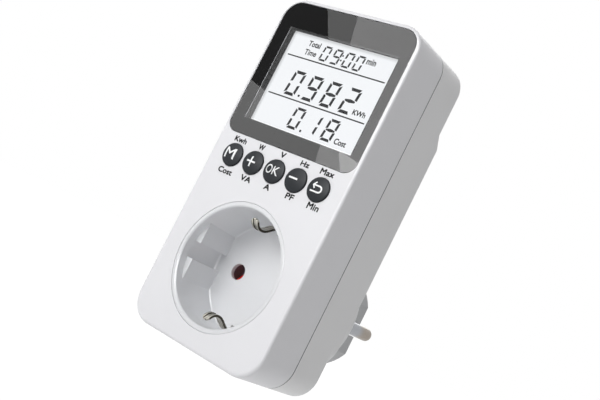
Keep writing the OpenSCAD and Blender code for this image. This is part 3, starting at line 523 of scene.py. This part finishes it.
# the material, the axis, how far along it from the piece's low end the middle starts and from its
# high end it stops, in millimetres, the colours of the middle and the ends, and the gloss
twoPartPieces = {
    "filter_capacitor": ("shrinkSleeveOnCan", "Z", -1, -2, "#16213F", "#C6C8CA", (0.22, 0.34)),
    "fuse": ("glassFuseWithCaps", "X", 5, -5, "#C9D2D4", "#B7B9BB", (0.12, 0.28)),
    "backup_battery": ("shrinkSleeveOnCell", "X", 0.4, -1.2, "#2C8A3C", "#BFC1C3", (0.22, 0.34)),
    "metering_chip": ("epoxyChipTinnedLegs", "Z", 1.25, -1.25, "#17181A", "#B9BABC", (0.3, 0.5)),
    "varistor": ("epoxyDippedBlue", "Y", -1, -0.3, "#1F3F8F", "#B9BABC", (0.25, 0.38)),
    "tact_switches": ("switchNylonSteelCover", "Y", 0.4, 1, "#1B1C1E", "#B9BABC", (0.3, 0.45)),
}


def finishInnerWorks():
    for kind, pieces in ((plainMetal, metalPieces), (plainPlastic, plasticPieces)):
        for name, (*look, names) in pieces.items():
            paint(kind(name, *look), *names)
    for node, (name, axis, start, stop, inside, outside, gloss) in twoPartPieces.items():
        low, high = (getattr(corner, axis.lower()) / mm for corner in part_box(node))
        paint(twoPartMaterial(name, axis, low + start, high + stop, inside, outside, gloss), node)
    paint(elastomerMaterial(), "elastomer_connector")
    paint(laminateMaterial(), "display_board", "main_board")
    paint(zinc, "display_board_screws", "main_board_screws", "carrier_screws", "plug_body_screws")
    paint(tinned, "earth_link")


zinc = screwMaterial()
tinned = plainMetal("tinPlatedSteel", "#A8A9AA", "#C4C5C6", 0.4, 0.006, 0.25, 0.4)
finishInnerWorks()
print("inner works finished")


# small tools for pieces

def pick(*things):
    # operators act on everything selected, so all else is deselected first
    bpy.ops.object.select_all(action="DESELECT")
    for thing in things:
        thing.select_set(True)
    bpy.context.view_layer.objects.active = things[0]


def openWhole(piece):
    # opens the piece in edit mode with all of it selected
    pick(piece)
    bpy.ops.object.mode_set(mode="EDIT")
    bpy.ops.mesh.select_all(action="SELECT")


def closePiece():
    # leaves edit mode again
    bpy.ops.object.mode_set(mode="OBJECT")


def applyPlace():
    # puts the active piece's place, turn and size into its mesh
    bpy.ops.object.transform_apply(location=True, rotation=True, scale=True)


def copyOf(source, name):
    # a copy with a mesh of its own
    copy = bpy.data.objects.new(name, source.data.copy())
    bpy.context.scene.collection.objects.link(copy)
    return copy


def applyModifier(piece, kind, **choices):
    modifier = piece.modifiers.new(kind.lower(), kind)
    for name, choice in choices.items():
        setattr(modifier, name, choice)
    pick(piece)
    bpy.ops.object.modifier_apply(modifier=modifier.name)


def selectPoints(piece, test):
    # opens the piece in edit mode with only the vertices that pass the test selected
    pick(piece)
    bpy.ops.object.mode_set(mode="EDIT")
    bpy.ops.mesh.select_mode(type="VERT")
    bpy.ops.mesh.select_all(action="DESELECT")
    closePiece()
    for vertex in piece.data.vertices:
        vertex.select = test(vertex.co)
    bpy.ops.object.mode_set(mode="EDIT")


def finishPiece(piece, name, material, body):
    # names a piece, gives it its material and makes it ride on its body
    piece.name = name
    piece.data.name = name
    piece.data.materials.clear()
    piece.data.materials.append(material)
    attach(piece, body)


# points nearer than so many metres are one, and faces within so many degrees are one flat face;
# the steps of a broken edge; and how much large faces rule the shading of those beside them
skinLook = {"merge": 1e-6, "flat": 0.4, "segments": 2, "weight": 60}


def refined(name, material, slot, edge, angle=30, smooth=50, window=False):
    # stands for a CAD node: a merged copy, its flat triangles joined and its edges softly broken;
    # a flat face with a window in it is joined into quads only, because one face can't go round it
    piece = copyOf(nodes[name], name + "_skin")
    pick(piece)
    bpy.ops.mesh.customdata_custom_splitnormals_clear()
    openWhole(piece)
    bpy.ops.mesh.remove_doubles(threshold=skinLook["merge"])
    if window:
        bpy.ops.mesh.tris_convert_to_quads(face_threshold=math.radians(skinLook["flat"]))
    else:
        bpy.ops.mesh.dissolve_limited(angle_limit=math.radians(skinLook["flat"]))
    closePiece()
    applyModifier(piece, "BEVEL", width=edge * mm, segments=skinLook["segments"],
                  limit_method="ANGLE", angle_limit=math.radians(angle),
                  miter_outer="MITER_ARC", use_clamp_overlap=True)
    pick(piece)
    bpy.ops.object.shade_smooth_by_angle(angle=math.radians(smooth))
    applyModifier(piece, "WEIGHTED_NORMAL", weight=skinLook["weight"], keep_sharp=True)
    finishPiece(piece, name + "_skin", material, nodes[name]["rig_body"])
    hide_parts(name)
    return piece


# the visible CAD nodes, with their edges broken: how wide, in millimetres
edgeLook = {"shell": 0.12, "cup": 0.1, "key": 0.1, "plug": 0.3, "pin": 0.08, "small": 0.08}

refined("front_shell", shellMaterial("absMouldedFront", shellLook["frontDark"],
                                     shellLook["frontLight"]), "shell_plastic", edgeLook["shell"])
refined("rear_shell", shellMaterial("absMouldedRear", shellLook["rearDark"],
                                    shellLook["rearLight"]), "shell_plastic", edgeLook["shell"])
refined("socket_cup", cupMaterial(), "socket_plastic", edgeLook["cup"])
refined("plug_body", plugMaterial(), "plug_plastic", edgeLook["plug"])
print("housing, cup and plug refined")

pinMetal = pinMaterial()
for side in ("line", "neutral"):
    refined("plug_pin_" + side, pinMetal, "pin_nickel", edgeLook["pin"])
clipMetal = clipMaterial()
refined("plug_earth_strap", clipMetal, "clip_nickel", edgeLook["small"])
refined("earth_pin_sleeve", tinned, "clip_nickel", edgeLook["small"])
for side in ("upper", "lower"):
    refined("earth_clip_" + side, clipMetal, "clip_nickel", edgeLook["small"])
refined("shutter", shutterMaterial(), "shutter_plastic", edgeLook["small"])
refined("housing_screws", zinc, "steel_screw", edgeLook["small"])


# a wire's edges are broken less, in millimetres, and only where they are sharp, in degrees
springEdge = {"edge": 0.02, "angle": 80, "smooth": 60}


def makeSpring():
    # the shutter's spring: a refined copy, given a mesh of its own
    steel = plainMetal("springSteelWound", "#8E9094", "#AEB0B4", 0.2, 0.006, 0.25, 0.4)
    coil = refined("shutter_spring", steel, "spring_steel", **springEdge)
    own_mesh(coil)


makeSpring()
print("metal and shutter refined")

# only edges gentler than so many degrees shade smoothly, or the two flat faces bend the view;
# the points within "reach" of the back move by "wet", so that the ink wets it with no air between
lensPlan = {"smooth": 15, "reach": 0.01, "wet": 0.03}     # degrees, then millimetres


def makeLens():
    lens = refined("display_lens", lensMaterial(), "lens_acrylic", edgeLook["small"],
                   smooth=lensPlan["smooth"])
    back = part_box("display_lens")[1].y
    selectPoints(lens, lambda co: co.y > back - lensPlan["reach"] * mm)
    bpy.ops.transform.translate(value=(0, lensPlan["wet"] * mm, 0))
    closePiece()
    paint(maskMaterial(), "lens_mask")


makeLens()
refined("lcd_frame", bezelMaterial(), "frame_plastic", edgeLook["small"], window=True)
keyPlastic = keyMaterial()
keySkins = {name: refined("key_" + name, keyPlastic, "key_plastic", edgeLook["key"])
            for name in keyNames}
print("lens and keys refined")


# display: the lit glass and what it shows

displayPlan = {
    "view": (-22.3, 22.3, 47.1, 80.7),       # the frame's opening: x and z, millimetres
    "ink": 0.02,                             # thickness of a segment plate
    "gap": 0.005,                            # between the glass and the plates
    "digits": [                              # character, x from and to, z from and to
        ("0", -7.9, -4.65, 73.2, 78.6), ("9", -3.25, 0.1, 73.2, 78.6),
        ("0", 1.75, 5.1, 73.2, 78.6), ("0", 6.3, 9.45, 73.2, 78.6),
        ("0", -14.95, -10.0, 59.0, 67.9), ("9", -7.25, -2.2, 59.0, 67.9),
        ("8", 0.65, 5.65, 59.0, 67.9), ("2", 8.65, 13.75, 59.0, 67.9),
        ("0", -7.25, -2.75, 48.7, 56.3), ("1", 0.1, 4.6, 48.7, 56.3),
        ("8", 7.3, 11.85, 48.7, 56.3)],
    "dots": [(1.0, 76.9, 0.6), (1.0, 75.2, 0.6), (-8.1, 59.85, 0.8), (-0.8, 49.1, 0.8)],
    "rules": [(-20.8, 20.7, 72.3), (-20.8, 20.7, 58.0)],
    "ruleWidth": 0.45,
    "dotRound": 0.3,                         # a dot's corner radius, as a share of its size
    "dotSteps": 3,
    "words": [("Total", -14.5, -9.3, 76.9, 78.9), ("Time", -14.5, -9.4, 73.8, 75.8),
              ("min", 10.7, 14.4, 76.4, 78.5), ("KWh", 14.7, 19.8, 59.6, 61.4),
              ("Cost", 13.3, 18.1, 48.9, 50.9)],
    "wordBold": 0.12,
}
digitShape = {"bar": 0.12, "barWidth": 0.84, "barTaper": 0.72, "post": 0.205, "postTaper": 0.72,
              "postLength": 0.385, "postMiddle": 0.735, "postDrop": 0.02, "middle": 0.125,
              "middleWidth": 0.64, "middleTaper": 1.45, "slant": 0.2,   # shares of a digit's size
              "level": 1e-4}                                            # points this near are level
# the segments that each digit lights: a to f go round from the top, and g is the middle one
lit = {"0": "abcdef", "1": "bc", "2": "abged", "8": "abcdefg", "9": "abcdfg"}


def plate(width, height, x, z, y=0.0):
    # a flat plane that faces the front, in metres
    bpy.ops.mesh.primitive_plane_add(size=1, location=(x, y, z), rotation=(math.pi / 2, 0, 0))
    piece = bpy.context.object
    piece.scale = (width, height, 1)
    applyPlace()
    return piece


def squeeze(piece, test, x, z):
    # draws the selected vertices together about their middle
    selectPoints(piece, test)
    chosen = [v.co.copy() for v in piece.data.vertices if test(v.co)]
    middle = [sum(co[i] for co in chosen) / len(chosen) for i in range(3)]
    bpy.ops.transform.resize(value=(x, 1, z), center_override=middle)
    closePiece()


def mirrored(piece, x, z):
    # a copy of its own, mirrored within a digit that is one unit wide and one unit high
    copy = copyOf(piece, piece.name)
    copy.scale = (x, 1, z)
    copy.location = (1 if x < 0 else 0, 0, 1 if z < 0 else 0)
    pick(copy)
    applyPlace()
    if x * z < 0:                # one mirroring turned it to face backwards
        openWhole(copy)
        bpy.ops.mesh.flip_normals()
        closePiece()
    return copy


def segmentShapes():
    # the seven segments of a digit, modelled once in a unit square
    s = digitShape
    top = plate(s["barWidth"], s["bar"], 0.5, 1 - s["bar"] / 2)
    squeeze(top, lambda co: co.z < 1 - s["bar"] / 2, s["barTaper"], 1)
    post = plate(s["post"], s["postLength"], s["post"] / 2, s["postMiddle"])
    squeeze(post, lambda co: co.x > s["post"] / 2, 1, s["postTaper"])
    selectPoints(post, lambda co: co.x > s["post"] / 2)
    bpy.ops.transform.translate(value=(0, 0, -s["postDrop"]))
    closePiece()
    bpy.ops.mesh.primitive_circle_add(vertices=6, radius=0.5, fill_type="NGON",
                                      location=(0.5, 0, 0.5), rotation=(math.pi / 2, 0, 0))
    middle = bpy.context.object
    middle.scale = (s["middleWidth"], s["middle"] / math.sin(math.pi / 3), 1)
    applyPlace()
    squeeze(middle, lambda co: abs(co.z - 0.5) > s["middle"] / 4, s["middleTaper"], 1)
    shapes = {"a": top, "d": mirrored(top, 1, -1), "g": middle, "f": post,
              "b": mirrored(post, -1, 1), "e": mirrored(post, 1, -1), "c": mirrored(post, -1, -1)}
    for shape in shapes.values():         # leans to the right, one level of points after another
        for level in sorted({round(v.co.z, 4) for v in shape.data.vertices}):
            selectPoints(shape, lambda co: abs(co.z - level) < s["level"])
            bpy.ops.transform.translate(value=(s["slant"] * level, 0, 0))
            closePiece()
    return shapes


def thicken(piece, thickness):
    # gives a flat plate its thickness towards the front, all its faces turned outwards
    applyModifier(piece, "SOLIDIFY", thickness=thickness * mm, offset=1)
    openWhole(piece)
    bpy.ops.mesh.normals_make_consistent(inside=False)
    closePiece()


def joinPieces(pieces):
    pick(*pieces)
    bpy.ops.object.join()
    return bpy.context.object


letterSteps = 5                               # along each curve of a letter


def lettering(words, x0, x1, z0, z1, y, bold):
    # flat letters that fill a box; bold widens every stroke by that much; all in millimetres
    bpy.ops.object.text_add(rotation=(math.pi / 2, 0, 0))
    bpy.context.object.data.body = words
    bpy.context.object.data.resolution_u = letterSteps
    bpy.ops.object.convert(target="MESH")
    piece = bpy.context.object
    applyPlace()
    across = [v.co.x for v in piece.data.vertices]
    up = [v.co.z for v in piece.data.vertices]
    wide = (x1 - x0 - bold) * mm / (max(across) - min(across))
    tall = (z1 - z0 - bold) * mm / (max(up) - min(up))
    piece.scale = (wide, 0, tall)
    piece.location = (x0 * mm - min(across) * wide, y * mm, z0 * mm - min(up) * tall)
    applyPlace()
    openWhole(piece)              # printed once more to each side and above, as a bold face is
    for move in ((bold, 0, 0), (0, 0, bold), (-bold, 0, 0)):
        bpy.ops.mesh.duplicate_move(
            TRANSFORM_OT_translate={"value": tuple(step * mm for step in move)})
    closePiece()
    return piece


def makeDisplay():
    plan = displayPlan
    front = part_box("lcd_glass")[0].y / mm - plan["gap"]
    refined("lcd_glass", displayMaterial(*plan["view"]), "display_glass", edgeLook["small"])
    shapes = segmentShapes()
    parts = []
    for character, x0, x1, z0, z1 in plan["digits"]:
        for segment in lit[character]:
            copy = copyOf(shapes[segment], "segment")
            copy.scale = ((x1 - x0) * mm, 1, (z1 - z0) * mm)
            copy.location = (x0 * mm, front * mm, z0 * mm)
            pick(copy)
            applyPlace()
            parts.append(copy)
    for shape in shapes.values():
        bpy.data.objects.remove(shape)
    for x, z, size in plan["dots"]:
        dot = plate(size * mm, size * mm, x * mm, z * mm, front * mm)
        openWhole(dot)
        bpy.ops.mesh.bevel(offset=size * plan["dotRound"] * mm, segments=plan["dotSteps"],
                           affect="VERTICES")
        closePiece()
        parts.append(dot)
    for x0, x1, z in plan["rules"]:
        parts.append(plate((x1 - x0) * mm, plan["ruleWidth"] * mm, (x0 + x1) / 2 * mm, z * mm,
                           front * mm))
    for words in plan["words"]:
        parts.append(lettering(*words, front, plan["wordBold"]))
    ink = joinPieces(parts)
    thicken(ink, plan["ink"])
    finishPiece(ink, "display_segments", segmentMaterial(), "meter")


makeDisplay()
print("display made")


# printed legends beside the keys

legendPlan = {
    "thickness": 0.02, "gap": 0.004, "bold": 0.17,       # millimetres, as the places are
    "words": [("Kwh", -21.6, -16.2, 38.0, 39.9), ("W", -10.5, -8.0, 38.2, 40.1),
              ("V", -0.9, 1.3, 38.4, 40.3), ("Hz", 8.0, 11.6, 38.3, 40.1),
              ("Max", 16.3, 21.9, 38.2, 40.2), ("Cost", -22.1, -15.8, 26.6, 28.6),
              ("VA", -11.7, -7.1, 26.8, 28.8), ("A", -1.1, 1.4, 27.0, 29.0),
              ("PF", 8.4, 11.75, 27.0, 29.0), ("Min", 17.6, 22.3, 26.9, 29.0)],
}


def makeLegends():
    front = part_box("front_shell")[0].y / mm - legendPlan["gap"]
    letters = joinPieces([lettering(*words, front, legendPlan["bold"])
                          for words in legendPlan["words"]])
    thicken(letters, legendPlan["thickness"])
    finishPiece(letters, "key_legends", legendMaterial(), "meter")


makeLegends()
print("legends printed")


# signs on the keys, wrapped onto their crowns

signPlan = {
    "thickness": 0.03, "gap": 0.008, "stroke": 0.58, "bold": 0.06,   # millimetres
    "ahead": 65,                             # how far in front of the keys a sign is laid on from
    "cuts": 5,                               # into each edge of a sign, so that it can curve
    "mode": ("M", -21.5, -17.2, 31.7, 35.4), "ok": ("OK", -2.75, 2.5, 32.1, 35.1),
    "plus": (-9.6, 33.5, 3.5), "minus": (9.0, 33.7, 3.6),
    "arrow": {"left": 16.8, "low": 32.3, "turn": 19.9, "radius": 1.0, "steps": 16, "head": 17.3,
              "barb": 1.55, "barbAngle": 48, "barbBack": 0.15, "stroke": 0.5},
}


def crossSign(x, z, length, stroke, upright):
    # a bar, and an upright grown out of its middle by extruding
    bar = plate(stroke * mm, stroke * mm, x * mm, z * mm)
    half = (length - stroke) / 2 * mm

    def onEdge(co, dx, dz):
        # whether a point is on that side of the square in the middle
        right, up = co.x / mm - x, co.z / mm - z
        return right * dx + up * dz > stroke * 0.4 and abs(right * dz) + abs(up * dx) < stroke * 0.6

    ways = [(1, 0), (-1, 0)] + ([(0, 1), (0, -1)] if upright else [])
    for dx, dz in ways:
        selectPoints(bar, lambda co: onEdge(co, dx, dz))
        bpy.ops.mesh.extrude_edges_move(
            TRANSFORM_OT_translate={"value": (dx * half, 0, dz * half)})
        closePiece()
    return bar


def arrowSign():
    # a return arrow: a bar, a half turn made by spinning its end, and a bar back to an open head
    a = signPlan["arrow"]
    width = (a["turn"] - a["left"]) * mm
    bar = plate(width, a["stroke"] * mm, a["left"] * mm + width / 2, a["low"] * mm)
    selectPoints(bar, lambda co: co.x > (a["turn"] - 0.01) * mm)
    bpy.ops.mesh.select_mode(type="EDGE")
    centre = (a["turn"] * mm, 0, (a["low"] + a["radius"]) * mm)
    bpy.ops.mesh.spin(steps=a["steps"], angle=math.pi, center=centre, axis=(0, 1, 0))
    closePiece()
    top = a["low"] + 2 * a["radius"]
    selectPoints(bar, lambda co: abs(co.x - a["turn"] * mm) < 1e-6 and
                 abs(co.z - top * mm) < a["stroke"] * 0.6 * mm)
    bpy.ops.mesh.extrude_edges_move(
        TRANSFORM_OT_translate={"value": ((a["head"] - a["turn"]) * mm, 0, 0)})
    closePiece()
    barbs = []
    for turn in (1, -1):
        barb = plate(a["barb"] * mm, a["stroke"] * mm,
                     (a["head"] + a["barb"] / 2 - a["barbBack"]) * mm, top * mm)
        openWhole(barb)
        bpy.ops.transform.rotate(value=turn * math.radians(a["barbAngle"]), orient_axis="Y",
                                 center_override=(a["head"] * mm, 0, top * mm))
        closePiece()
        barbs.append(barb)
    return joinPieces([bar] + barbs)


def wrapSign(piece, name):
    # cuts the flat sign finely, lays it on the key's crown and gives it the ink's thickness
    openWhole(piece)
    bpy.ops.mesh.quads_convert_to_tris()
    bpy.ops.mesh.subdivide(number_cuts=signPlan["cuts"])
    bpy.ops.transform.translate(value=(0, -signPlan["ahead"] * mm, 0))
    closePiece()
    applyModifier(piece, "SHRINKWRAP", target=keySkins[name], wrap_method="PROJECT",
                  use_project_y=True, use_positive_direction=True, use_negative_direction=True,
                  offset=signPlan["gap"] * mm)
    thicken(piece, signPlan["thickness"])
    finishPiece(piece, "sign_" + name, signInk, name + "_key")


signInk = signMaterial()
for name in ("mode", "ok"):
    wrapSign(lettering(*signPlan[name], 0, signPlan["bold"]), name)
wrapSign(crossSign(*signPlan["plus"], signPlan["stroke"], True), "plus")
wrapSign(crossSign(*signPlan["minus"], signPlan["stroke"], False), "minus")
wrapSign(arrowSign(), "back")
print("key signs made")


# floor, world and lamps

# places, sizes and distances are in metres, unless a note says millimetres
studioLook = {
    "floor": -75,                          # the table's height, millimetres
    "tableSize": 6, "tableWhite": 1.15,
    "tableGlow": (0.12, 0.85),             # its share of own light, lighting others and seen
    "fill": 0.285,
    "aim": (0, -0.04, 0.03),               # where the lamps point
    "lamps": {"keyLamp": {"place": (-0.22, -0.98, 0.42), "size": 0.7, "watts": 6.2},
              "sideLamp": {"place": (1.1, 0.1, -0.1), "size": 0.8, "watts": 0.42},
              "backLamp": {"place": (-0.7, 1.0, 0.5), "size": 0.8, "watts": 3.0},
              "topLamp": {"place": (0.1, -0.1, 1.2), "size": 0.6, "watts": 2.1}},
    # bright cards that only gloss sees, in front of the meter, the first at cardsY: how much nearer
    # than that each stands, the places on the lens, x and z, where its corners are seen reflected,
    # all in millimetres, and its strength
    "cardsY": -800,
    "cards": [
        ("cardBase", 0, [(-66, 17), (59, 17), (59, 118), (-66, 118)], 2.75),
        ("cardTop", 3, [(-3.3, 77), (5, 77), (1, 103.3), (-19.9, 103.3)], 2.15),
        ("cardLight", 6, [(12.2, 44), (46.7, 44), (46.7, 103.3), (-1.5, 103.3)], 4.2),
        ("cardLow", 9, [(14.5, 32.8), (46.7, 32.8), (46.7, 47), (11.4, 47)], 5.3),
        ("cardBright", 12, [(28.6, 32.8), (46.7, 32.8), (46.7, 42.2), (18.8, 47)], 9.0),
        ("cardRight", 15, [(23.9, 46.2), (46.7, 42.2), (46.7, 60), (23.9, 60)], 4.4),
        ("cardBlack", 18, [(-65.6, 68), (14, 49.5), (-19.9, 103.3), (-65.6, 103.3)], 0.315),
        ("cardWindow", 21, [(-19.5, 47.1), (23.9, 47.1), (23.9, 80), (-19.5, 80)], 0.315)],
    # upright bright strips round the front: degrees to the right from straight ahead, and heights
    "strips": {"stripHigh": {"azimuth": (-5, 50), "height": (0.2, 0.9), "distance": 0.9,
                             "strength": 12},
               "stripLow": {"azimuth": (12, 24), "height": (-0.07, 0.2), "distance": 0.9,
                            "strength": 11}},
}


def seenShare(owner):
    # 1 where a ray comes from the camera, a mirror or clear glass, 0 where it lights other things
    path = addNode(owner, "ShaderNodeLightPath")
    seen = addNode(owner, "ShaderNodeMath", {}, {0: path.outputs["Is Camera Ray"],
                                                 1: path.outputs["Is Glossy Ray"]})
    seen = addNode(owner, "ShaderNodeMath", {}, {0: seen.outputs["Value"],
                                                 1: path.outputs["Is Transmission Ray"]},
                   use_clamp=True)
    return seen.outputs["Value"]


def addWorld():
    world = bpy.data.worlds.new("paleStudio")
    bpy.context.scene.world = world
    world.use_nodes = True
    world.node_tree.nodes.clear()
    fill = addNode(world, "ShaderNodeBackground", {"Color": (1, 1, 1, 1),
                                                   "Strength": studioLook["fill"]})
    white = addNode(world, "ShaderNodeBackground", {"Color": (1, 1, 1, 1), "Strength": 1})
    mix = addNode(world, "ShaderNodeMixShader", {}, {0: seenShare(world),
                                                     1: fill.outputs["Background"],
                                                     2: white.outputs["Background"]})
    addNode(world, "ShaderNodeOutputWorld", {}, {"Surface": mix.outputs["Shader"]})


def addFloor():
    # a white table: seen directly it is nearly its own white, so that only a soft shadow shows
    bpy.ops.mesh.primitive_plane_add(size=studioLook["tableSize"],
                                     location=(0, 0, studioLook["floor"] * mm))
    floor = bpy.context.object
    floor.name = "floor"
    material = bpy.data.materials.new("paperSweepWhite")
    material.use_nodes = True
    material.node_tree.nodes.clear()
    matt = addNode(material, "ShaderNodeBsdfDiffuse", {"Color": toLinear("#F4F4F4")})
    white = addNode(material, "ShaderNodeEmission",
                    {"Color": (1, 1, 1, 1), "Strength": studioLook["tableWhite"]})
    share = addNode(material, "ShaderNodeMapRange",
                    {"To Min": studioLook["tableGlow"][0], "To Max": studioLook["tableGlow"][1]},
                    {"Value": seenShare(material)})
    mix = addNode(material, "ShaderNodeMixShader", {}, {0: share.outputs["Result"],
                                                        1: matt.outputs["BSDF"],
                                                        2: white.outputs["Emission"]})
    addNode(material, "ShaderNodeOutputMaterial", {}, {"Surface": mix.outputs["Shader"]})
    floor.data.materials.append(material)


def addLamp(name, look):
    bpy.ops.object.light_add(type="AREA", location=look["place"])
    lamp = bpy.context.object
    lamp.name = name
    lamp.data.size = look["size"]
    lamp.data.energy = look["watts"]
    lamp.visible_transmission = False         # no lamp shows in the back of the display's lens
    away = [place - aim for place, aim in zip(look["place"], studioLook["aim"])]
    flat = math.hypot(away[0], away[1])
    lamp.rotation_euler = (math.atan2(flat, away[2]), 0, math.atan2(away[0], -away[1]))


def addCard(name, forward, corners, strength):
    # a flat card in front of the meter, seen only in its gloss
    bpy.ops.mesh.primitive_plane_add(size=1, location=(0, 0, 0))
    card = bpy.context.object
    card.name = name
    order = sorted(card.data.vertices, key=lambda v: math.atan2(v.co.y, v.co.x))
    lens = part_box("display_lens")[0].y
    eye = cameraLook["place"]
    depth = (studioLook["cardsY"] + forward) * mm
    reach = 1 + (lens - depth) / (lens - eye[1])
    for vertex, (x, z) in zip(order, corners):
        vertex.co = (eye[0] + (x * mm - eye[0]) * reach, depth,
                     eye[2] + (z * mm - eye[2]) * reach)
    glow = bpy.data.materials.new(name + "Glow")
    glow.use_nodes = True
    glow.node_tree.nodes.clear()
    light = addNode(glow, "ShaderNodeEmission", {"Color": (1, 1, 1, 1), "Strength": strength})
    addNode(glow, "ShaderNodeOutputMaterial", {}, {"Surface": light.outputs["Emission"]})
    card.data.materials.append(glow)
    card.visible_camera = False
    card.visible_diffuse = False
    card.visible_transmission = False
    card.visible_shadow = False
    return card


def addStrip(name, look):
    # an upright bright strip, for the lines of light on the shell's edges
    strip = addCard(name, 0, [(0, 0), (1, 0), (1, 1), (0, 1)], look["strength"])
    corners = sorted(strip.data.vertices, key=lambda v: (v.co.z, v.co.x))
    places = [(math.radians(azimuth), height)
              for height in look["height"] for azimuth in look["azimuth"]]
    for vertex, (turn, height) in zip(corners, places):
        vertex.co = (math.sin(turn) * look["distance"], -math.cos(turn) * look["distance"], height)


addWorld()
addFloor()
for name, look in studioLook["lamps"].items():
    addLamp(name, look)
for card in studioLook["cards"]:
    addCard(*card)
for name, look in studioLook["strips"].items():
    addStrip(name, look)
bpy.context.scene.view_settings.view_transform = "Standard"
print("studio set")
